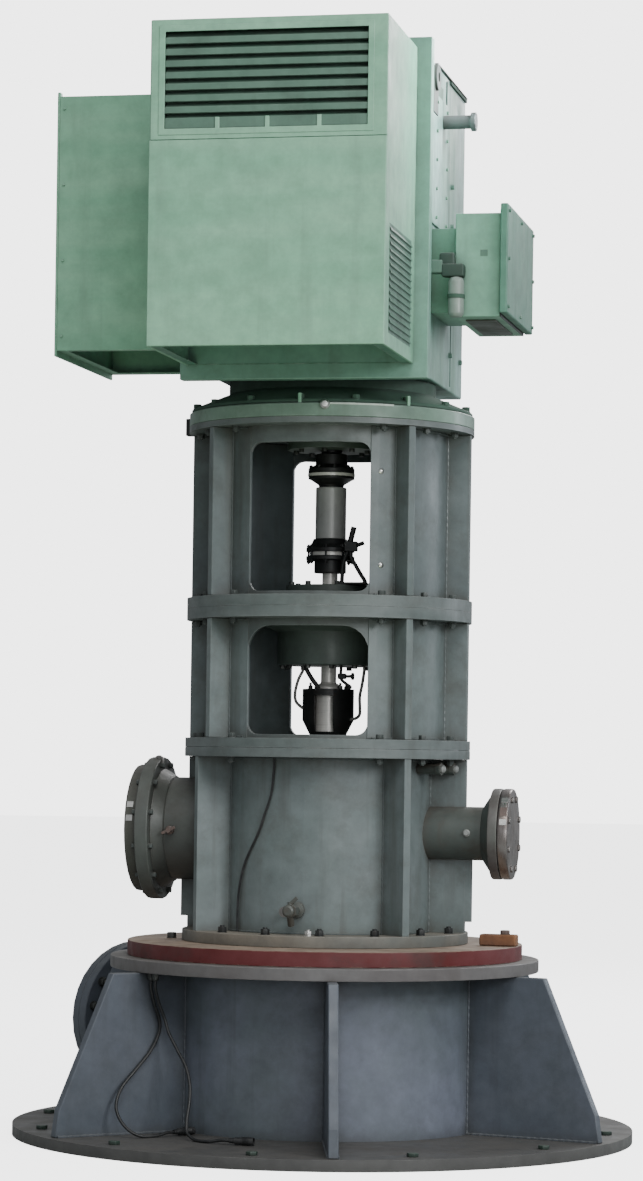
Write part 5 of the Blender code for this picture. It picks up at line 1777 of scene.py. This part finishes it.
@dataclass
class FrontHood(SubAssembly):
    """The air hood in front, with its louvre and side grilles."""

    seam_z: float = 3.653
    step: float = 0.003
    louvre_rim: float = 0.022
    blades: int = 8
    first_slot: float = 4.0286
    pitch: float = 0.0412
    blade_tall: float = 0.025
    sheet: float = 0.0016
    clips: tuple[float, ...] = (-0.1886, -0.0069, 0.181)
    clip_z: float = 3.708
    lip: float = 0.035
    grille: tuple[float, float, float, float] = (-1.115, 2.975, -0.69, 3.353)
    grille_rows: int = 15

    def build(self) -> None:
        """Makes the hood's sheets, the louvre and the grilles."""
        low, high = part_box("front_hood_face")
        thick = high.y - low.y
        louvre_low, louvre_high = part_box("front_louvre")
        place = outward(0.0, -high.y)
        opening = (louvre_low.x, louvre_low.z, louvre_high.x, louvre_high.z)
        upper = framed((low.x + 0.004, self.seam_z + 0.002, high.x, high.z), opening, thick - self.step)
        self.add("front_hood_upper_face", placed(upper, place), Coat.MOTOR, ease=0.002)
        lower = block((low.x, low.z, 0.0), (high.x, self.seam_z, thick))
        self.add("front_hood_lower_face", placed(lower, place), Coat.MOTOR, ("front_hood_face",), 0.003)
        for node in ("front_hood_left", "front_hood_right", "front_hood_top"):
            self.dress(node, Coat.MOTOR, 0.002)
        edge = self.louvre_rim
        outer = (opening[0] - edge, opening[1] - edge, opening[2] + edge, opening[3] + edge)
        self.add("louvre_rim", placed(framed(outer, opening, thick - 0.0005), place), Coat.MOTOR, ease=0.0015)
        self.build_louvre(opening, low.y)
        self.build_lip()
        self.build_grille("right", high.x)
        self.build_grille("left", -low.x)

    def build_louvre(self, opening: Sequence[float], front: float) -> None:
        """The folded blades, their slopes in painted shade, the strip under them with its clips, and a dark sheet
        behind as painted shade.

        Args:
            opening: its left, bottom, right and top.
            front: where the hood's face is on Y.
        """
        left, bottom, right, top = opening
        width = right - left - 0.002
        half = self.blade_tall / 2
        lip = [(0.009, half), (0.002, half - 0.0005), (0.0, half - 0.0025), (0.0, -half + 0.002), (0.006, -half)]
        slope = [(0.012, half), (0.048, half + 0.03)]
        slots = [self.first_slot - (i + 0.5) * self.pitch for i in range(self.blades)]
        places = [moved((left + right) / 2, front + 0.006, z) for z in slots]
        # The blades and the strip wear the darker louvre green as painted shade.
        blades = repeated(bent_strip(lip, width, self.sheet), places[:-1])
        self.add("louvre_blades", blades, Coat.LOUVRE, ("front_louvre",))
        # The slopes under the blades are painted dark as shade.
        self.add("louvre_slopes", repeated(bent_strip(slope, width, self.sheet), places), Coat.SHADE_GREEN)
        corner = (right - 0.001, front + 0.009, slots[-1] + half)
        self.add("louvre_strip", slab((left + 0.001, front + 0.005, bottom + 0.001), corner, 0.001, 1), Coat.LOUVRE)
        clip = slab((-0.008, 0.0, -0.024), (0.008, 0.005, 0.024), 0.0015, 1)
        clips = [moved(x, front + 0.0008, self.clip_z) for x in self.clips]
        self.add("louvre_clips", repeated(clip, clips), Coat.MOTOR)
        # A dark sheet behind the louvre: painted shade where the hood's inside shows.
        shade_sheet = block((left - 0.012, front + 0.052, bottom - 0.012), (right + 0.012, front + 0.054, top + 0.012))
        self.add("louvre_shade_sheet", shade_sheet, Coat.SHADE_GREEN)

    def build_lip(self) -> None:
        """The folded lip round the hood's open underside."""
        low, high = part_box("front_hood_face")
        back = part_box("front_hood_left")[1].y
        left, front, right = low.x + 0.01, low.y + 0.01, high.x - 0.01
        inner = (left + self.lip, front + self.lip, right - self.lip, back - 0.001)
        lip = framed((left, front, right, back), inner, 0.003)
        # The lip wears the darker lid green as painted shade under the hood.
        self.add("front_hood_lip", placed(lip, moved(z=low.z + 0.002)), Coat.LID)

    def build_grille(self, side: str, out: float) -> None:
        """The pressed louvres low on one side of the hood.

        Args:
            side: right or left.
            out: how far that side is from the axis.
        """
        front, bottom, back, top = self.grille
        sign = 1 if side == "right" else -1
        place = outward(sign * 90.0, out)
        middle = sign * (front + back) / 2
        half = (back - front) / 2
        pitch = (top - bottom) / self.grille_rows
        rows = [place @ moved(middle, bottom + (i + 0.5) * pitch) for i in range(self.grille_rows)]
        press = bent_strip([(0.006, 0.0), (-0.002, 0.005), (-0.007, 0.005)], back - front, 0.0012)
        self.add(f"grille_{side}", repeated(press, rows), Coat.GRILLE)
        # A darker strip under each pressed row: painted shade in the slit.
        slit = block((-half + 0.004, -0.0105, 0.0003), (half - 0.004, -0.0035, 0.0008))
        self.add(f"grille_{side}_slits", repeated(slit, rows), Coat.SLIT)
        sheet = block((-half - 0.006, bottom - 0.005, -0.0002), (half + 0.006, top + 0.005, 0.0003))
        self.add(f"grille_{side}_sheet", placed(sheet, place @ moved(middle)), Coat.GRILLE)


@dataclass
class SideHood(SubAssembly):
    """The air hood on the left."""

    lip: float = 0.035
    screw_inset: float = 0.03
    screw_heights: tuple[float, ...] = (3.06, 3.35, 3.64, 3.93)

    def build(self) -> None:
        """Makes the hood's sheets, its lip and the corner tab."""
        for node in ("side_hood_face", "side_hood_front", "side_hood_rear", "side_hood_top"):
            self.dress(node, Coat.MOTOR, 0.002)
        low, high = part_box("side_hood_face")
        front_low, front_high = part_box("side_hood_front")
        inner = (high.x + self.lip, low.y + 0.01 + self.lip, front_high.x - 0.001, high.y - 0.01 - self.lip)
        lip = framed((high.x, low.y + 0.01, front_high.x, high.y - 0.01), inner, 0.003)
        self.add("side_hood_lip", placed(lip, moved(z=front_low.z + 0.002)), Coat.MOTOR)
        corner = (low.x + 0.012, low.y + 0.03, high.z + 0.016)
        tab = slab((low.x + TOUCH, low.y + TOUCH, high.z - 0.01), corner, 0.002)
        self.add("side_hood_tab", tab, Coat.MOTOR)
        bar = slab((high.x, -0.02, low.z + 0.1), (high.x + 0.02, 0.02, high.z - 0.03), 0.003)
        self.add("side_hood_stiffener", bar, Coat.MOTOR)
        columns = (low.x + self.screw_inset, front_high.x - self.screw_inset)
        screws = [outward(0.0, -low.y) @ moved(x, z) for x in columns for z in self.screw_heights]
        self.add("side_hood_screws", repeated(nut(0.009, washer=False), screws), Coat.MOTOR)


@dataclass
class TerminalBox(SubAssembly):
    """The terminal box with its neck and lid, and the canister in front of it."""

    inner: float = 0.5245
    bolt_inset: float = 0.025

    def build(self) -> None:
        """Makes the box, the lid and the fittings."""
        self.dress("terminal_box", Coat.BOX, 0.004)
        self.dress("terminal_box_lid", Coat.LID, 0.005)
        low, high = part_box("terminal_box")
        self.build_lid()
        plate = slab((self.inner + 0.03, -0.22, low.z - 0.006), (high.x - 0.03, 0.22, low.z), 0.002)
        self.add("gland_plate", plate, Coat.GRIMY)
        mark = slab((-0.014, -0.012, 0.0), (0.014, 0.012, 0.0012), 0.0005, 1)
        self.add("box_mark", placed(mark, outward(0.0, -low.y) @ moved(0.634, 3.37)), Coat.LOUVRE)
        self.build_canister()

    def build_lid(self) -> None:
        """The lid's bolts and its gasket."""
        low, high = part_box("terminal_box_lid")
        box_low, box_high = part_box("terminal_box")
        inset = self.bolt_inset
        left, right, bottom, top = low.y + inset, high.y - inset, low.z + inset, high.z - inset
        spots = [(y, z) for y in (left, 0.0, right) for z in (bottom, top)]
        spots += [(y, (low.z + high.z) / 2) for y in (left, right)]
        bolts = [outward(90.0, high.x) @ moved(y, z) for y, z in spots]
        self.add("lid_bolts", repeated(nut(0.012, washer=False), bolts), Coat.LID)
        outer = (low.y + 0.02, low.z + 0.02, high.y - 0.02, high.z - 0.02)
        gasket = framed(outer, (box_low.y, box_low.z, box_high.y, box_high.z), 0.003)
        self.add("lid_gasket", placed(gasket, outward(90.0, low.x - 0.0031)), Coat.HOSE)

    def build_canister(self) -> None:
        """The pale canister with its bracket and strap."""
        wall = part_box("terminal_box")[0].y
        low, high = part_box("canister")
        middle = (low + high) / 2
        radius = (high.x - low.x) / 2
        profile = [
            (0, low.z), (radius * 0.7, low.z), (radius, low.z + 0.012), (radius, high.z - 0.02),
            (radius * 0.75, high.z - 0.006), (0, high.z),
        ]
        body = placed(spun(profile, 40, 0.004), moved(middle.x, middle.y))
        self.add("canister_skin", body, Coat.CANISTER, ("canister",))
        head = slab((0.48, wall - 0.052, high.z - 0.004), (0.566, wall - 0.001, high.z + 0.045), 0.008)
        crest = slab((0.47, wall - 0.045, high.z + 0.02), (0.53, wall - 0.001, high.z + 0.088), 0.01)
        self.add("canister_bracket", together(head, crest), Coat.BLACKENED)
        link = slab((0.4155, wall - 0.05, high.z + 0.01), (0.485, wall - 0.005, high.z + 0.06), 0.006)
        self.add("canister_link", link, Coat.LOUVRE)
        strap = spun(disc(radius + 0.003, low.z + 0.07, low.z + 0.085, radius - 0.001), 40, 0.001)
        self.add("canister_strap", placed(strap, moved(middle.x, middle.y)), Coat.CONE)


# Floor, light and camera


@dataclass
class Studio:
    """The floor, the lights and the camera at the photograph's angle."""

    focal: float = 3400.0
    picture: tuple[int, int] = (643, 1181)
    horizon: float = 760.0
    distance: float = 13.2
    height: float = 1.455
    bearing: float = 11.5
    yaw: float = 0.0994
    roll: float = 0.0143
    sensor: float = 36.0
    floor: float = 70.0

    def build(self) -> None:
        """Makes the floor, the world, the lights and the camera."""
        self.build_floor()
        self.build_world()
        self.lamp("key", (8.35, -6.5, 5.2), (0.1, 0.0, 1.6), 3.2, 560.0, (0.97, 0.99, 1.0))
        self.lamp("front", (2.4, -7.6, 9.6), (0.0, 0.0, 2.0), 5.0, 520.0, (1.0, 1.0, 0.98))
        self.lamp("low", (3.9, -11.3, 2.6), (0.0, 0.0, 2.0), 4.0, 150.0, (1.0, 1.0, 1.0))
        self.lamp("back", (2.4, 9.0, 7.6), (0.0, 0.0, 3.4), 4.0, 420.0, (1.0, 1.0, 1.0))
        self.lamp("window", (7.4, 6.8, 4.4), (0.0, 0.0, 2.2), 3.6, 200.0, (0.86, 0.93, 1.0))
        self.lamp("crown", (1.55, -0.35, 4.75), (0.43, -0.4, 4.06), 0.7, 12.0, (0.88, 0.96, 1.0), 42.0)
        self.lamp("bounce", (0.4, -2.7, 0.5), (0.0, -0.75, 2.95), 1.2, 1.7, (0.8, 1.0, 0.52), 50.0)
        self.build_camera()

    def build_floor(self) -> None:
        """A plain pale disc just under the plate."""
        shape = bmesh.new()
        bmesh.ops.create_circle(shape, cap_ends=True, segments=96, radius=self.floor, matrix=moved(z=-0.0005))
        mesh = bpy.data.meshes.new("floor")
        shape.to_mesh(mesh)
        shape.free()
        mesh.materials.append(Ground("floor_pale", "floor", (0.9, 0.9, 0.9), (0.37, 0.38, 0.37), 3.4).material())
        floor = bpy.data.objects.new("floor", mesh)
        bpy.context.scene.collection.objects.link(floor)

    def build_world(self) -> None:
        """Pale to the eye, and dimmer as a light, so that hollows stay dark."""
        world = bpy.data.worlds.new("studio")
        bpy.context.scene.world = world
        world.use_nodes = True
        tree = Tree(world.node_tree)
        world.node_tree.nodes.clear()
        seen = tree.add("ShaderNodeBackground", {"Color": (1.0, 1.0, 1.0), "Strength": 4.0})
        given = tree.add("ShaderNodeBackground", {"Color": (0.93, 0.97, 1.0), "Strength": 0.4})
        ray = tree.add("ShaderNodeLightPath")
        feeds = {0: ray.outputs["Is Camera Ray"], 1: given.outputs[0], 2: seen.outputs[0]}
        both = tree.add("ShaderNodeMixShader", feeds)
        tree.add("ShaderNodeOutputWorld", {"Surface": both.outputs[0]})

    def lamp(
        self, name: str, place: Sequence[float], aim: Sequence[float], size: float, power: float, colour: Colour,
        spread: float = 180.0,
    ) -> None:
        """A square soft light.

        Args:
            name: its name.
            place: where it hangs.
            aim: the point that it looks at.
            size: the length of its sides.
            power: its strength in watts.
            colour: its colour.
            spread: the full angle that it lights, in degrees.
        """
        data = bpy.data.lights.new(name, "AREA")
        data.spread = math.radians(spread)
        data.shape = "SQUARE"
        data.size = size
        data.energy = power
        data.color = colour
        lamp = bpy.data.objects.new(name, data)
        lamp.location = place
        lamp.rotation_euler = (Vector(aim) - Vector(place)).to_track_quat("-Z", "Y").to_euler()
        lamp.visible_camera = False
        bpy.context.scene.collection.objects.link(lamp)

    def build_camera(self) -> None:
        """A level camera whose picture is shifted up, turned a little about its own axis."""
        data = bpy.data.cameras.new("camera")
        long_side = max(self.picture)
        data.lens = self.focal * self.sensor / long_side
        data.sensor_width = self.sensor
        data.shift_y = (self.horizon - self.picture[1] / 2) / long_side
        heading = math.radians(self.bearing + self.yaw)
        right = Vector((math.cos(heading), math.sin(heading), 0.0))
        ahead = Vector((-math.sin(heading), math.cos(heading), 0.0))
        up = Vector((0.0, 0.0, 1.0))
        cos, sin = math.cos(self.roll), math.sin(self.roll)
        axes = (right * cos + up * sin, up * cos - right * sin, -ahead)
        camera = bpy.data.objects.new("camera", data)
        camera.matrix_world = Matrix.Translation(at_bearing(self.bearing, self.distance, self.height)) @ Matrix(
            [[axes[column][row] for column in range(3)] for row in range(3)]
        ).to_4x4()
        bpy.context.scene.collection.objects.link(camera)
        bpy.context.scene.camera = camera


def main() -> None:
    """Builds the studio and the pump's sub-assemblies."""
    logging.basicConfig(level=logging.INFO, format="%(message)s")
    parts = (
        Studio(), Leads(), Foundation(), Can(), Cover(), Head(), Nozzles(), Stools(), Housings(), Rotor(), Sensor(),
        MotorFoot(), Motor(), FrontHood(), SideHood(), TerminalBox(),
    )
    for part in parts:
        LOG.info("%s", type(part).__name__)
        part.build()


if __name__ == "__main__":
    main()
